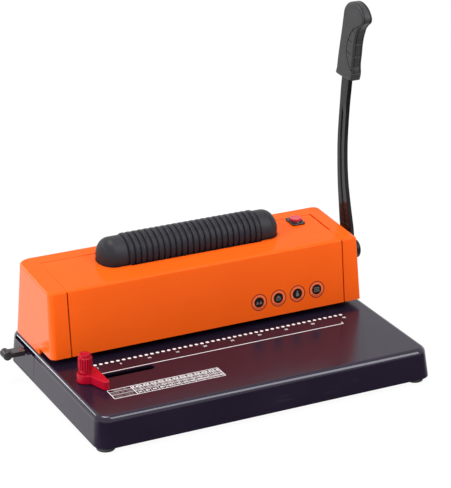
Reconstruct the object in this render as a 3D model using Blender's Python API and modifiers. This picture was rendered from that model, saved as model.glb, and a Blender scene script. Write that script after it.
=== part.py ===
"""Spiral coil binding machine: a lever punch with an electric coil roller on top.

Metres, +Z up. The front faces -Y, and the lever is at +X. The origin is on the table,
under the middle of the whole machine's box.
"""
from math import acos, asin, atan2, cos, degrees, pi, radians, sin

import bmesh
import bpy
from mathutils import Matrix, Vector

# Clearances that every piece shares
GAP = 0.0003
SEAM = 0.0006
OVERRUN = 0.002
MERGE = 0.00001

# Base: a moulded tray that stands open side down on four feet
BASE_WIDTH = 0.3749
BASE_DEPTH = 0.2483
BASE_HEIGHT = 0.0330
BASE_WALL = 0.0028
BASE_DRAFT = 0.0016
BASE_RIM_RADIUS = 0.0030
BASE_FRONT_CORNER = 0.0090
BASE_REAR_CORNER = 0.0220
FOOT_HEIGHT = 0.0050
FOOT_RADIUS = 0.0095
FOOT_INSET_X = 0.0125
FOOT_INSET_Y = 0.0125
FOOT_REAR_INSET = 0.0190
FOOT_EDGE = 0.0012
SPIGOT_RADIUS = 0.0030
SPIGOT_HEIGHT = 0.0018
BOTTOM_THICKNESS = 0.0015

# What stands out past the base at the two sides
HANDLE_REACH = 0.0238
LEVER_REACH = 0.0147

# Punch pattern
HOLE_PITCH = 0.00635
HOLES_MARGIN = 0.0890
HOLES_OFFSET_X = 0.0020
PIN_RADIUS = 0.0020
PIN_CLEARANCE = 0.00025
PIN_SIDES = 6
DIE_THICKNESS = 0.0050
DIE_DEPTH = 0.0220
PAPER_GAP = 0.0025
PIN_REST_RECESS = 0.0005
GUIDE_PLATE_FRONT = 0.0110
GUIDE_PLATE_REAR = 0.0215
LIP_THICKNESS = 0.0012
LIP_ROOM = 0.0056
EDGE_MARGIN = 0.0043
BACKSTOP_DEPTH = 0.0060
STRIP_OVERHANG = 0.0045
CARRIER_DEPTH = 0.0120
CARRIER_ROOM = 0.0013
TONGUE_REACH = 0.0020

# Side frames that carry the main shaft
FRAME_END_ROOM = 0.01925
FRAME_THICKNESS = 0.0040
FRAME_HEADROOM = 0.0105
FRAME_FRONT = 0.0260
FRAME_REAR_ROOM = 0.0010
FRAME_SHOULDER = 0.0300
FRAME_TOP_FRONT = 0.0140
FRAME_TAB_WIDTH = 0.0140
FRAME_TAB_HEIGHT = 0.0140
FRAME_TAB_LOW = 0.0100
FRAME_TAB_TOP_ROOM = 0.0200

# Main shaft, its bushes and the two eccentrics
SHAFT_BEHIND_FRONT = 0.0531
SHAFT_RADIUS = 0.0070
BUSH_WALL = 0.0025
BUSH_FLANGE = 0.0020
BUSH_FLANGE_WIDTH = 0.0030
LEVER_SWING = radians(75.0)
CAM_WALL = 0.0025
CAM_WIDTH = 0.0090
YOKE_WIDTH = 0.0100
YOKE_INSET = 0.0020
YOKE_SIDE_ROOM = 0.0003
SPRING_RADIUS = 0.0042
SPRING_WIRE = 0.0012
SPRING_TURNS = 5
SPRING_BACK = 0.0170

# Lever
LEVER_GAP_X = 0.0018
SHAFT_HOLE_ROOM = 0.0010
HUB_RADIUS = 0.0120
ARM_THICKNESS = 0.0048
ARM_EDGE = 0.0008
BOSS_RADIUS = 0.0105
BOSS_EDGE = 0.0015
ARM_EYE_RADIUS = 0.0120
GRIP_THICKNESS = 0.0122
GRIP_EDGE = 0.0040
GRIP_LENGTH = 0.0885
GRIP_LAP = 0.0030

# Housing: orange casing and the cover that closes its front and top
HOUSING_LEFT_INSET = 0.00535
HOUSING_RIGHT_INSET = 0.01135
HOUSING_END_DRAFT = 0.0022
HOUSING_BACK_INSET = 0.00665
HOUSING_DEPTH = 0.1104
HOUSING_FRONT_LEAN = 0.0091
HOUSING_REAR_LEAN = 0.0073
HOUSING_FRONT_HEIGHT = 0.0765
HOUSING_RISE = 0.0050
HOUSING_WALL = 0.0025
HOUSING_FRONT_CORNER = 0.0060
HOUSING_REAR_CORNER = 0.0180
HOUSING_EDGE = 0.0025
HOUSING_REAR_EDGE = 0.0090
CASING_LEFT_END = 0.02235
CASING_RIGHT_END = 0.01825
CASING_BACK_LEDGE = 0.0166
THROAT_HEIGHT = 0.0070
THROAT_NOTCH = 0.0349

# Casing screws
SCREW_RADIUS = 0.0015
SCREW_CLEARANCE = 0.0003
SCREW_HEAD_RADIUS = 0.0030
SCREW_HEAD_HEIGHT = 0.0018
SCREW_SEAT = 0.0010

# Coil roller on the top
ROLLER_BEHIND_SHAFT = 0.00695
ROLLER_RISE = 0.0085
ROLLER_OFFSET_X = 0.00145
SLEEVE_MARGIN = 0.2243
SLEEVE_RADIUS = 0.0210
SLEEVE_GROOVE = 0.0020
SLEEVE_RIBS = 23
SLEEVE_WALL = 0.0055
ROLLER_SHAFT_RADIUS = 0.0040
SHROUD_RADIUS = 0.0195
SHROUD_WALL = 0.0020
SHROUD_LEFT_LENGTH = 0.0310
SHROUD_RIGHT_LENGTH = 0.0260
SHROUD_DOME = 0.0150
SHROUD_GAP = 0.0006
SHROUD_CUT = 0.0070
SHROUD_BOSS_RADIUS = 0.0040
ROLLER_OPENING_MARGIN = 0.0008
ARM_RADIUS = 0.0120
ARM_PLATE = 0.0025
LEFT_ARM_INSET = 0.0095
RIGHT_ARM_INSET = 0.0125
BEARING_WALL = 0.0030
CRADLE_ROOM = 0.0040
CRADLE_PLATE = 0.0020
CRADLE_FRONT = 0.0190
CRADLE_BACK = 0.0060
CRADLE_WALL_BACK = 0.0110
CRADLE_WALL_INSET = 0.0080

# Roller drive
PULLEY_RADIUS = 0.0085
PULLEY_WIDTH = 0.0070
PULLEY_INSET = 0.0030
PULLEY_FLANGE = 0.0010
PULLEY_FLANGE_WIDTH = 0.0010
BELT_SIDE_ROOM = 0.0005
BELT_THICKNESS = 0.0015
MOTOR_PULLEY_RADIUS = 0.0040
MOTOR_BEHIND_ROLLER = 0.0270
MOTOR_DROP = 0.0450
MOTOR_RADIUS = 0.0140
MOTOR_LENGTH = 0.0480
MOTOR_SPINDLE = 0.0015
MOTOR_SPINDLE_DEPTH = 0.0080
BRACKET_ROOM = 0.0010
BRACKET_THICKNESS = 0.0020
BRACKET_MARGIN = 0.0010
BRACKET_FOOT = 0.0140

# Switch
SWITCH_INSET = 0.04265
SWITCH_BEHIND_FRONT = 0.06045
BEZEL_WIDTH = 0.0170
BEZEL_DEPTH = 0.0195
BEZEL_HEIGHT = 0.0018
BEZEL_EDGE = 0.0008
SWITCH_BODY_MARGIN = 0.0015
SWITCH_BODY_DEPTH = 0.0200
BUTTON_RADIUS = 0.0070
BUTTON_HEIGHT = 0.0075
BUTTON_EDGE = 0.0014
BUTTON_TRAVEL = 0.0025
BUTTON_STEM = 0.0060

# Mains supply parts
INLET_INSET = 0.07745
INLET_WIDTH = 0.0270
INLET_HEIGHT = 0.0190
INLET_DEPTH = 0.0160
INLET_RECESS = 0.0110
INLET_WALL = 0.0030
INLET_LOW = 0.0075
SUPPLY_X = -0.0200
SUPPLY_LENGTH = 0.0620
SUPPLY_DEPTH = 0.0220
SUPPLY_HEIGHT = 0.0240
SUPPLY_BACK_ROOM = 0.0010

# Red side guide in its slot
SLOT_BEFORE_HOUSING = 0.04395
SLOT_WIDTH = 0.0060
SLOT_INSET = 0.0166
SLOT_LENGTH = 0.0860
GUIDE_INSET = 0.0236
GUIDE_HEIGHT = 0.0095
GUIDE_HEAD_RADIUS = 0.0095
GUIDE_STOP = 0.0125
GUIDE_FRONT = 0.0300
GUIDE_BACK = 0.0090
GUIDE_TIP_WIDTH = 0.0070
GUIDE_WAIST_WIDTH = 0.0122
GUIDE_WAIST_FRONT = 0.0105
GUIDE_TIP_CORNER = 0.0030
GUIDE_EDGE = 0.0007
KEY_LENGTH = 0.0090
KNOB_RADIUS = 0.0078
KNOB_HEIGHT = 0.0172
KNOB_FLUTES = 14
KNOB_FLUTE_DEPTH = 0.0007
KNOB_COLLAR_HEIGHT = 0.0012
KNOB_COLLAR_RADIUS = 0.0068
STUD_RADIUS = 0.0022
NUT_LENGTH = 0.0140
NUT_WIDTH = 0.0100
NUT_THICKNESS = 0.0030
NUT_ROOM = 0.0005

# Waste drawer, its handle and runners
DRAWER_INSET_Y = 0.04915
DRAWER_WIDTH = 0.0540
DRAWER_FLOOR_ROOM = 0.0004
DRAWER_FRONT_HEIGHT = 0.0262
DRAWER_TRAY_HEIGHT = 0.0215
DRAWER_WALL = 0.0016
DRAWER_END_ROOM = 0.0369
DRAWER_FRONT_THICKNESS = 0.0030
RUNNER_THICKNESS = 0.0012
RUNNER_HEIGHT = 0.0090
RUNNER_FOOT = 0.0060
RUNNER_INSET = 0.0080
HANDLE_WIDTH = 0.0125
HANDLE_BEAD_RADIUS = 0.0048
HANDLE_NECK = 0.0054
HANDLE_HEIGHT = 0.0298
HANDLE_PEG_RADIUS = 0.0018
HANDLE_PEG_LENGTH = 0.0022

# Shares of the housing's front height, for what stands one above the other inside it
SHAFT_SHARE = 0.56209
TRAVEL_SHARE = 0.104575
GUIDE_PLATE_SHARE = 0.078431
STRIP_SHARE = 0.049673
YOKE_SHARE = 0.065359
# Share of the carrier's height that its end tongues have
TONGUE_SHARE = 0.55556

# Shares of a piece's own sizes, chosen by eye
# Arm: height of its length, set-back of its bow and width of its narrowest width
ARM_LENGTH = 0.2000
ARM_BOW = 0.0184
ARM_WIDTH = 0.0158
ARM_SHARES = [(0.145, 0.315, 1.52), (0.255, 0.587, 1.30), (0.370, 0.832, 1.12),
              (0.485, 0.962, 1.025), (0.600, 1.000, 1.00), (0.715, 0.935, 0.98),
              (0.830, 0.815, 0.97), (0.920, 0.700, 1.02), (1.150, 0.360, 1.02)]
# Grip: set-back of its width and height of its length, up the rear and down the front
GRIP_WIDTH = 0.0300
GRIP_SHARES = [(0.700, 0.000), (0.767, 0.045), (0.700, 0.170), (0.567, 0.407), (0.467, 0.620),
               (0.377, 0.780), (0.267, 0.847), (0.067, 0.915), (-0.200, 0.972), (-0.467, 1.000),
               (-0.633, 0.955), (-0.833, 0.898), (-0.943, 0.825), (-0.933, 0.774),
               (-0.667, 0.706), (-0.567, 0.633), (-0.487, 0.540), (-0.410, 0.463),
               (-0.420, 0.407), (-0.340, 0.311), (-0.267, 0.215), (-0.287, 0.113),
               (-0.233, 0.020), (-0.150, 0.000)]

# Facet counts
ROUND_STEPS = 24
SMALL_STEPS = 12
SLEEVE_STEPS = 18
CORNER_STEPS = 4
EDGE_STEPS = 3

# Places that follow from the sizes above
BASE_X = (HANDLE_REACH - LEVER_REACH) / 2
BASE_LEFT_X = BASE_X - BASE_WIDTH / 2
BASE_RIGHT_X = BASE_X + BASE_WIDTH / 2
DECK_Z = FOOT_HEIGHT + BASE_HEIGHT
HOLES_X = BASE_X + HOLES_OFFSET_X
HOLE_COUNT = 1 + int((BASE_WIDTH - HOLES_MARGIN) / HOLE_PITCH)
HOLES_LENGTH = HOLE_PITCH * (HOLE_COUNT - 1)
HOLE_RADIUS = PIN_RADIUS + PIN_CLEARANCE
HOUSING_LEFT_X = BASE_LEFT_X + HOUSING_LEFT_INSET
HOUSING_RIGHT_X = BASE_RIGHT_X - HOUSING_RIGHT_INSET
HOUSING_REAR_FOOT_Y = BASE_DEPTH / 2 - HOUSING_BACK_INSET
HOUSING_FRONT_FOOT_Y = HOUSING_REAR_FOOT_Y - HOUSING_DEPTH
HOUSING_FRONT_TOP_Y = HOUSING_FRONT_FOOT_Y + HOUSING_FRONT_LEAN
HOUSING_REAR_TOP_Y = HOUSING_REAR_FOOT_Y - HOUSING_REAR_LEAN
HOUSING_REAR_HEIGHT = HOUSING_FRONT_HEIGHT + HOUSING_RISE
COVER_LEFT_X = HOUSING_LEFT_X + CASING_LEFT_END
COVER_RIGHT_X = HOUSING_RIGHT_X - CASING_RIGHT_END
COVER_BACK_Y = HOUSING_REAR_TOP_Y - CASING_BACK_LEDGE
SHAFT_HEIGHT = SHAFT_SHARE * HOUSING_FRONT_HEIGHT
PUNCH_TRAVEL = TRAVEL_SHARE * HOUSING_FRONT_HEIGHT
GUIDE_PLATE_THICKNESS = GUIDE_PLATE_SHARE * HOUSING_FRONT_HEIGHT
STRIP_THICKNESS = STRIP_SHARE * HOUSING_FRONT_HEIGHT
YOKE_WALL = YOKE_SHARE * HOUSING_FRONT_HEIGHT
SHAFT_Y = HOUSING_FRONT_FOOT_Y + SHAFT_BEHIND_FRONT
SHAFT_Z = DECK_Z + SHAFT_HEIGHT
CAM_START = LEVER_SWING / 2
CAM_THROW = PUNCH_TRAVEL / (2 * sin(CAM_START))
CAM_RADIUS = SHAFT_RADIUS + CAM_THROW + CAM_WALL
CAM_REST_Y = SHAFT_Y - CAM_THROW * cos(CAM_START)
CAM_REST_Z = SHAFT_Z + CAM_THROW * sin(CAM_START)
PUNCH_Y = (CAM_REST_Y + SHAFT_Y - CAM_THROW) / 2
FRAME_SPACING = HOLES_LENGTH + FRAME_END_ROOM
FRAME_HEIGHT = HOUSING_FRONT_HEIGHT - FRAME_HEADROOM
FRAME_TAB_HIGH = FRAME_HEIGHT - FRAME_TAB_TOP_ROOM
FRAME_LEFT_X = HOLES_X - FRAME_SPACING / 2
FRAME_RIGHT_X = HOLES_X + FRAME_SPACING / 2
GUIDE_PLATE_LOW = DECK_Z + PAPER_GAP
GUIDE_PLATE_TOP = GUIDE_PLATE_LOW + GUIDE_PLATE_THICKNESS
STRIP_LOW = GUIDE_PLATE_TOP + PUNCH_TRAVEL + 2 * GAP
CARRIER_LOW = STRIP_LOW + STRIP_THICKNESS + GAP
CARRIER_HEIGHT = SHAFT_Z - SHAFT_RADIUS - CARRIER_ROOM - CARRIER_LOW
TONGUE_HEIGHT = TONGUE_SHARE * CARRIER_HEIGHT
WINDOW_HALF_HEIGHT = CAM_RADIUS + GAP
WINDOW_HALF_DEPTH = CAM_RADIUS + CAM_THROW * (1 - cos(CAM_START)) / 2 + YOKE_SIDE_ROOM
YOKE_LOW = CAM_REST_Z - WINDOW_HALF_HEIGHT - YOKE_WALL
YOKE_HIGH = CAM_REST_Z + WINDOW_HALF_HEIGHT + YOKE_WALL
ROLLER_X = BASE_X + ROLLER_OFFSET_X
ROLLER_Y = SHAFT_Y + ROLLER_BEHIND_SHAFT
ROLLER_Z = DECK_Z + HOUSING_FRONT_HEIGHT + ROLLER_RISE
HOUSING_SLOPE = atan2(HOUSING_REAR_HEIGHT - HOUSING_FRONT_HEIGHT,
                      HOUSING_REAR_TOP_Y - HOUSING_FRONT_TOP_Y)
SLEEVE_LENGTH = BASE_WIDTH - SLEEVE_MARGIN
SLEEVE_LEFT_X = ROLLER_X - SLEEVE_LENGTH / 2
SLEEVE_RIGHT_X = ROLLER_X + SLEEVE_LENGTH / 2
CORE_RADIUS = SLEEVE_RADIUS - SLEEVE_WALL - GAP
CRADLE_Z = SHAFT_Z + SHAFT_RADIUS + CRADLE_ROOM
MOTOR_Y = ROLLER_Y + MOTOR_BEHIND_ROLLER
MOTOR_Z = ROLLER_Z - MOTOR_DROP
SWITCH_X = HOUSING_RIGHT_X - SWITCH_INSET
SWITCH_Y = HOUSING_FRONT_TOP_Y + SWITCH_BEHIND_FRONT
PULLEY_LEFT_X = SLEEVE_RIGHT_X + PULLEY_INSET
PULLEY_RIGHT_X = PULLEY_LEFT_X + PULLEY_WIDTH
LEFT_ARM_X = SLEEVE_LEFT_X - LEFT_ARM_INSET
RIGHT_ARM_X = SLEEVE_RIGHT_X + RIGHT_ARM_INSET
SLOT_LEFT_X = BASE_LEFT_X + SLOT_INSET
SLOT_Y = HOUSING_FRONT_FOOT_Y - SLOT_BEFORE_HOUSING
KNOB_X = BASE_LEFT_X + GUIDE_INSET
DRAWER_Y = BASE_DEPTH / 2 - DRAWER_INSET_Y
DRAWER_LENGTH = BASE_WIDTH - DRAWER_END_ROOM
BOTTOM_LOW = FOOT_HEIGHT + GAP
BOTTOM_TOP = BOTTOM_LOW + BOTTOM_THICKNESS
DRAWER_LOW = BOTTOM_TOP + DRAWER_FLOOR_ROOM
LEVER_END_X = BASE_RIGHT_X + LEVER_REACH
HANDLE_END_X = BASE_LEFT_X - HANDLE_REACH
HUB_START_X = HOUSING_RIGHT_X + LEVER_GAP_X


def housing_top(y):
    """Height of the sloping top of the housing at a depth."""
    share = (y - HOUSING_FRONT_TOP_Y) / (HOUSING_REAR_TOP_Y - HOUSING_FRONT_TOP_Y)
    return DECK_Z + HOUSING_FRONT_HEIGHT + share * (HOUSING_REAR_HEIGHT - HOUSING_FRONT_HEIGHT)


def rear_inside(z):
    """Depth of the inner face of the housing's leaning back at a height."""
    share = (z - DECK_Z) / (HOUSING_REAR_HEIGHT - HOUSING_WALL)
    return HOUSING_REAR_FOOT_Y + share * (HOUSING_REAR_TOP_Y - HOUSING_REAR_FOOT_Y) - HOUSING_WALL


def clear_scene():
    for obj in list(bpy.data.objects):
        bpy.data.objects.remove(obj)


def collection(name):
    made = bpy.data.collections.new(name)
    bpy.context.scene.collection.children.link(made)
    return made


clear_scene()
PARTS = collection("wire_binding_machine")
CUTTERS = collection("cutters")
MATERIALS = {}


def material(name, colour, roughness, metallic=0.0):
    """A Principled material, made once for each name."""
    if name not in MATERIALS:
        made = bpy.data.materials.new(name)
        made.use_nodes = True
        shader = made.node_tree.nodes["Principled BSDF"]
        shader.inputs["Base Color"].default_value = (*colour, 1.0)
        shader.inputs["Roughness"].default_value = roughness
        shader.inputs["Metallic"].default_value = metallic
        made.diffuse_color = (*colour, 1.0)
        MATERIALS[name] = made
    return MATERIALS[name]


def orange_plastic():
    return material("orange_plastic", (0.79, 0.10, 0.01), 0.22)


def black_plastic():
    return material("black_plastic", (0.015, 0.014, 0.018), 0.18)


def dark_rubber():
    return material("dark_rubber", (0.035, 0.036, 0.042), 0.6)


def charcoal_plastic():
    return material("charcoal_plastic", (0.04, 0.041, 0.047), 0.45)


def grip_plastic():
    return material("grip_plastic", (0.06, 0.06, 0.062), 0.5)


def red_plastic():
    return material("red_plastic", (0.62, 0.015, 0.03), 0.3)


def button_plastic():
    return material("button_plastic", (0.75, 0.03, 0.02), 0.15)


def black_paint():
    return material("black_paint", (0.014, 0.014, 0.016), 0.15)


def bright_steel():
    return material("bright_steel", (0.62, 0.62, 0.63), 0.3, 1.0)


def plated_steel():
    return material("plated_steel", (0.5, 0.5, 0.48), 0.45, 1.0)


def bronze():
    return material("bronze", (0.55, 0.36, 0.16), 0.4, 1.0)


def adopt(obj, name, finish=None):
    """Names a finished mesh, shades it and puts it with the parts, or with the cutters."""
    obj.name = name
    for holder in list(obj.users_collection):
        holder.objects.unlink(obj)
    if finish is None:
        CUTTERS.objects.link(obj)
        obj.hide_render = True
        obj.display_type = "WIRE"
        return obj
    PARTS.objects.link(obj)
    obj.data.materials.clear()
    obj.data.materials.append(finish)
    obj.data.shade_smooth()
    obj.data.set_sharp_from_angle(angle=radians(35))
    return obj


def tidy_mesh(obj):
    """Welds a mesh and turns its faces outwards."""
    work = bmesh.new()
    work.from_mesh(obj.data)
    bmesh.ops.remove_doubles(work, verts=work.verts, dist=MERGE)
    bmesh.ops.recalc_face_normals(work, faces=work.faces)
    work.to_mesh(obj.data)
    work.free()
    return obj


def settle(obj):
    """Replaces an object by the mesh that its curve or modifiers give."""
    bpy.context.view_layer.update()
    shape = obj.evaluated_get(bpy.context.evaluated_depsgraph_get())
    mesh = bpy.data.meshes.new_from_object(shape)
    settled = bpy.data.objects.new(obj.name, mesh)
    bpy.context.scene.collection.objects.link(settled)
    settled.matrix_world = obj.matrix_world.copy()
    bpy.data.objects.remove(obj)
    return tidy_mesh(settled)


AXIS_TURNS = {
    "X": Matrix(((0, 0, 1), (1, 0, 0), (0, 1, 0))).to_4x4(),
    "Y": Matrix(((0, 1, 0), (0, 0, 1), (1, 0, 0))).to_4x4(),
    "Z": Matrix.Identity(4),
}
AXIS_VECTORS = {"X": Vector((1, 0, 0)), "Y": Vector((0, 1, 0)), "Z": Vector((0, 0, 1))}


def extruded(outline, axis, low, high, bevel=0.0, holes=()):
    """A flat outline drawn out along an axis. The outline's two coordinates are world
    (y, z) for X, (z, x) for Y and (x, y) for Z."""
    data = bpy.data.curves.new("outline", "CURVE")
    data.dimensions = "2D"
    data.fill_mode = "BOTH"
    data.extrude = (high - low) / 2
    for loop in (outline, *holes):
        spline = data.splines.new("POLY")
        spline.points.add(len(loop) - 1)
        for point, (u, v) in zip(spline.points, loop):
            point.co = (u, v, 0, 1)
        spline.use_cyclic_u = True
    obj = bpy.data.objects.new("outline", data)
    bpy.context.scene.collection.objects.link(obj)
    middle = AXIS_VECTORS[axis] * (low + high) / 2
    obj.matrix_world = Matrix.Translation(middle) @ AXIS_TURNS[axis]
    obj = settle(obj)
    if bevel:
        rounding = obj.modifiers.new("rounding", "BEVEL")
        rounding.width = bevel
        rounding.segments = EDGE_STEPS - 1
        rounding.limit_method = "ANGLE"
        rounding.angle_limit = radians(50)
        obj = settle(obj)
    return obj


def box(low, high, bevel=0.0):
    """A box between two corners."""
    (x0, y0, z0), (x1, y1, z1) = low, high
    return extruded([(x0, y0), (x1, y0), (x1, y1), (x0, y1)], "Z", z0, z1, bevel)


def turned(profile, axis, centre, steps=ROUND_STEPS):
    """A turned shape. The profile's points are (radius, place along the axis), down the
    outer side; a profile that leaves the axis bare is closed on itself."""
    work = bmesh.new()
    points = [work.verts.new((radius, 0, height)) for radius, height in profile]
    for one, other in zip(points, points[1:]):
        work.edges.new((one, other))
    if min(radius for radius, height in profile) > 0:
        work.edges.new((points[-1], points[0]))
    mesh = bpy.data.meshes.new("profile")
    work.to_mesh(mesh)
    work.free()
    obj = bpy.data.objects.new("profile", mesh)
    bpy.context.scene.collection.objects.link(obj)
    obj.matrix_world = Matrix.Translation(Vector(centre)) @ AXIS_TURNS[axis]
    turn = obj.modifiers.new("turn", "SCREW")
    turn.steps = turn.render_steps = steps
    turn.use_merge_vertices = True
    turn.merge_threshold = MERGE
    return settle(obj)


def cylinder(radius, axis, centre, low, high, steps=ROUND_STEPS, bore=0.0, edge=0.0):
    """A cylinder or, with a bore, a ring, between two places along its axis."""
    outer = [(radius, high), (radius, low)]
    if edge:
        outer = [(radius - edge, high), (radius, high - edge), (radius, low + edge), (radius - edge, low)]
    inner = [(bore, low), (bore, high)]
    return turned(inner[1:] + outer + inner[:1], axis, centre, steps)


def combine(target, tool, operation):
    """Adds one Boolean of the target with a tool that stays among the cutters."""
    adopt(tool, operation.lower() + "_tool")
    change = target.modifiers.new(operation.lower(), "BOOLEAN")
    change.operation = operation
    change.object = tool
    return target


def cut(target, *tools):
    for tool in tools:
        combine(target, tool, "DIFFERENCE")
    return target


def fuse(target, *tools):
    for tool in tools:
        combine(target, tool, "UNION")
    return target


def piece(obj, name, finish, holder=None):
    """A finished part of the machine, carried by the empty of its joint if it moves."""
    obj = adopt(obj, name, finish)
    if holder:
        obj.parent = holder
        obj.matrix_parent_inverse = holder.matrix_world.inverted()
    return obj


def joint(name, place):
    """An empty on a joint's axis."""
    empty = bpy.data.objects.new(name, None)
    empty.location = place
    PARTS.objects.link(empty)
    bpy.context.view_layer.update()
    return empty


def arc(centre, radius, start, end, steps):
    """Points of a round stretch in an outline, angles in degrees."""
    angles = [radians(start + (end - start) * i / steps) for i in range(steps + 1)]
    return [(centre[0] + radius * cos(a), centre[1] + radius * sin(a)) for a in angles]


def slot_outline(left, right, middle, half_width, steps):
    """A slot with round ends, along X."""
    return (arc((right - half_width, middle), half_width, -90, 90, steps)
            + arc((left + half_width, middle), half_width, 90, 270, steps))


def rounded_plan(x0, x1, y0, y1, front_corner, rear_corner):
    """A rounded rectangle as (x, y, outward normal, share of rear), from the front left."""
    points = []
    corners = [((x0 + front_corner, y0 + front_corner), front_corner, 180, (0, 0)),
               ((x1 - front_corner, y0 + front_corner), front_corner, 270, (0, 0)),
               ((x1 - rear_corner, y1 - rear_corner), rear_corner, 0, (0, 1)),
               ((x0 + rear_corner, y1 - rear_corner), rear_corner, 90, (1, 0))]
    for centre, radius, start, (first, last) in corners:
        for i in range(CORNER_STEPS + 1):
            share = i / CORNER_STEPS
            angle = radians(start + 90 * share)
            normal = (cos(angle), sin(angle))
            rear = first + (last - first) * (3 * share ** 2 - 2 * share ** 3)
            points.append((centre[0] + radius * normal[0], centre[1] + radius * normal[1],
                           normal, rear))
    return points


def tub(foot, head, low, front_corner, rear_corner, edge, rear_edge, grow=0.0):
    """A closed block with leaning sides, rounded corners and a rounded, sloping top.

    foot is (x0, x1, y0, y1, z) and head is (x0, x1, y0, y1, z at the front, z at the back).
    low is the height that the sides start from, and grow moves every wall outwards.
    """
    fx0, fx1, fy0, fy1, foot_z = foot
    hx0, hx1, hy0, hy1, front_z, back_z = head
    corners = (front_corner + grow, rear_corner + grow)
    foot_plan = rounded_plan(fx0 - grow, fx1 + grow, fy0 - grow, fy1 + grow, *corners)
    head_plan = rounded_plan(hx0 - grow, hx1 + grow, hy0 - grow, hy1 + grow, *corners)

    def top(y):
        return front_z + (y - hy0) / (hy1 - hy0) * (back_z - front_z) + grow

    work = bmesh.new()
    rings = []
    turns = [i / EDGE_STEPS * pi / 2 for i in range(EDGE_STEPS + 1)]
    for turn in [None] + turns:
        ring = []
        for (fx, fy, normal, rear), (hx, hy, _, _) in zip(foot_plan, head_plan):
            full_height = top(hy)
            radius = edge + rear * (rear_edge - edge) + grow
            if turn is None:
                z, inset = low, 0.0
            else:
                inset = radius * (1 - cos(turn))
                z = full_height - radius * (1 - sin(turn))
            share = (z - foot_z) / (full_height - foot_z)
            x = fx + (hx - fx) * share - normal[0] * inset
            y = fy + (hy - fy) * share - normal[1] * inset
            if turn is not None:
                z += top(y) - full_height
            ring.append(work.verts.new((x, y, z)))
        rings.append(ring)
    count = len(rings[0])
    for lower, upper in zip(rings, rings[1:]):
        for i in range(count):
            j = (i + 1) % count
            work.faces.new((lower[i], lower[j], upper[j], upper[i]))
    work.faces.new(list(reversed(rings[0])))
    work.faces.new(rings[-1])
    bmesh.ops.triangulate(work, faces=work.faces)
    mesh = bpy.data.meshes.new("tub")
    work.to_mesh(mesh)
    work.free()
    obj = bpy.data.objects.new("tub", mesh)
    bpy.context.scene.collection.objects.link(obj)
    return tidy_mesh(obj)


def base_solid(low, grow=0.0):
    half_depth = BASE_DEPTH / 2
    foot = (BASE_LEFT_X, BASE_RIGHT_X, -half_depth, half_depth, FOOT_HEIGHT)
    head = (BASE_LEFT_X + BASE_DRAFT, BASE_RIGHT_X - BASE_DRAFT,
            -half_depth + BASE_DRAFT, half_depth - BASE_DRAFT, DECK_Z, DECK_Z)
    return tub(foot, head, low, BASE_FRONT_CORNER, BASE_REAR_CORNER, BASE_RIM_RADIUS,
               BASE_RIM_RADIUS, grow)


def housing_solid(low, grow=0.0):
    foot = (HOUSING_LEFT_X, HOUSING_RIGHT_X, HOUSING_FRONT_FOOT_Y, HOUSING_REAR_FOOT_Y, DECK_Z)
    head = (HOUSING_LEFT_X + HOUSING_END_DRAFT, HOUSING_RIGHT_X - HOUSING_END_DRAFT,
            HOUSING_FRONT_TOP_Y, HOUSING_REAR_TOP_Y,
            DECK_Z + HOUSING_FRONT_HEIGHT, DECK_Z + HOUSING_REAR_HEIGHT)
    return tub(foot, head, low, HOUSING_FRONT_CORNER, HOUSING_REAR_CORNER, HOUSING_EDGE,
               HOUSING_REAR_EDGE, grow)


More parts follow.
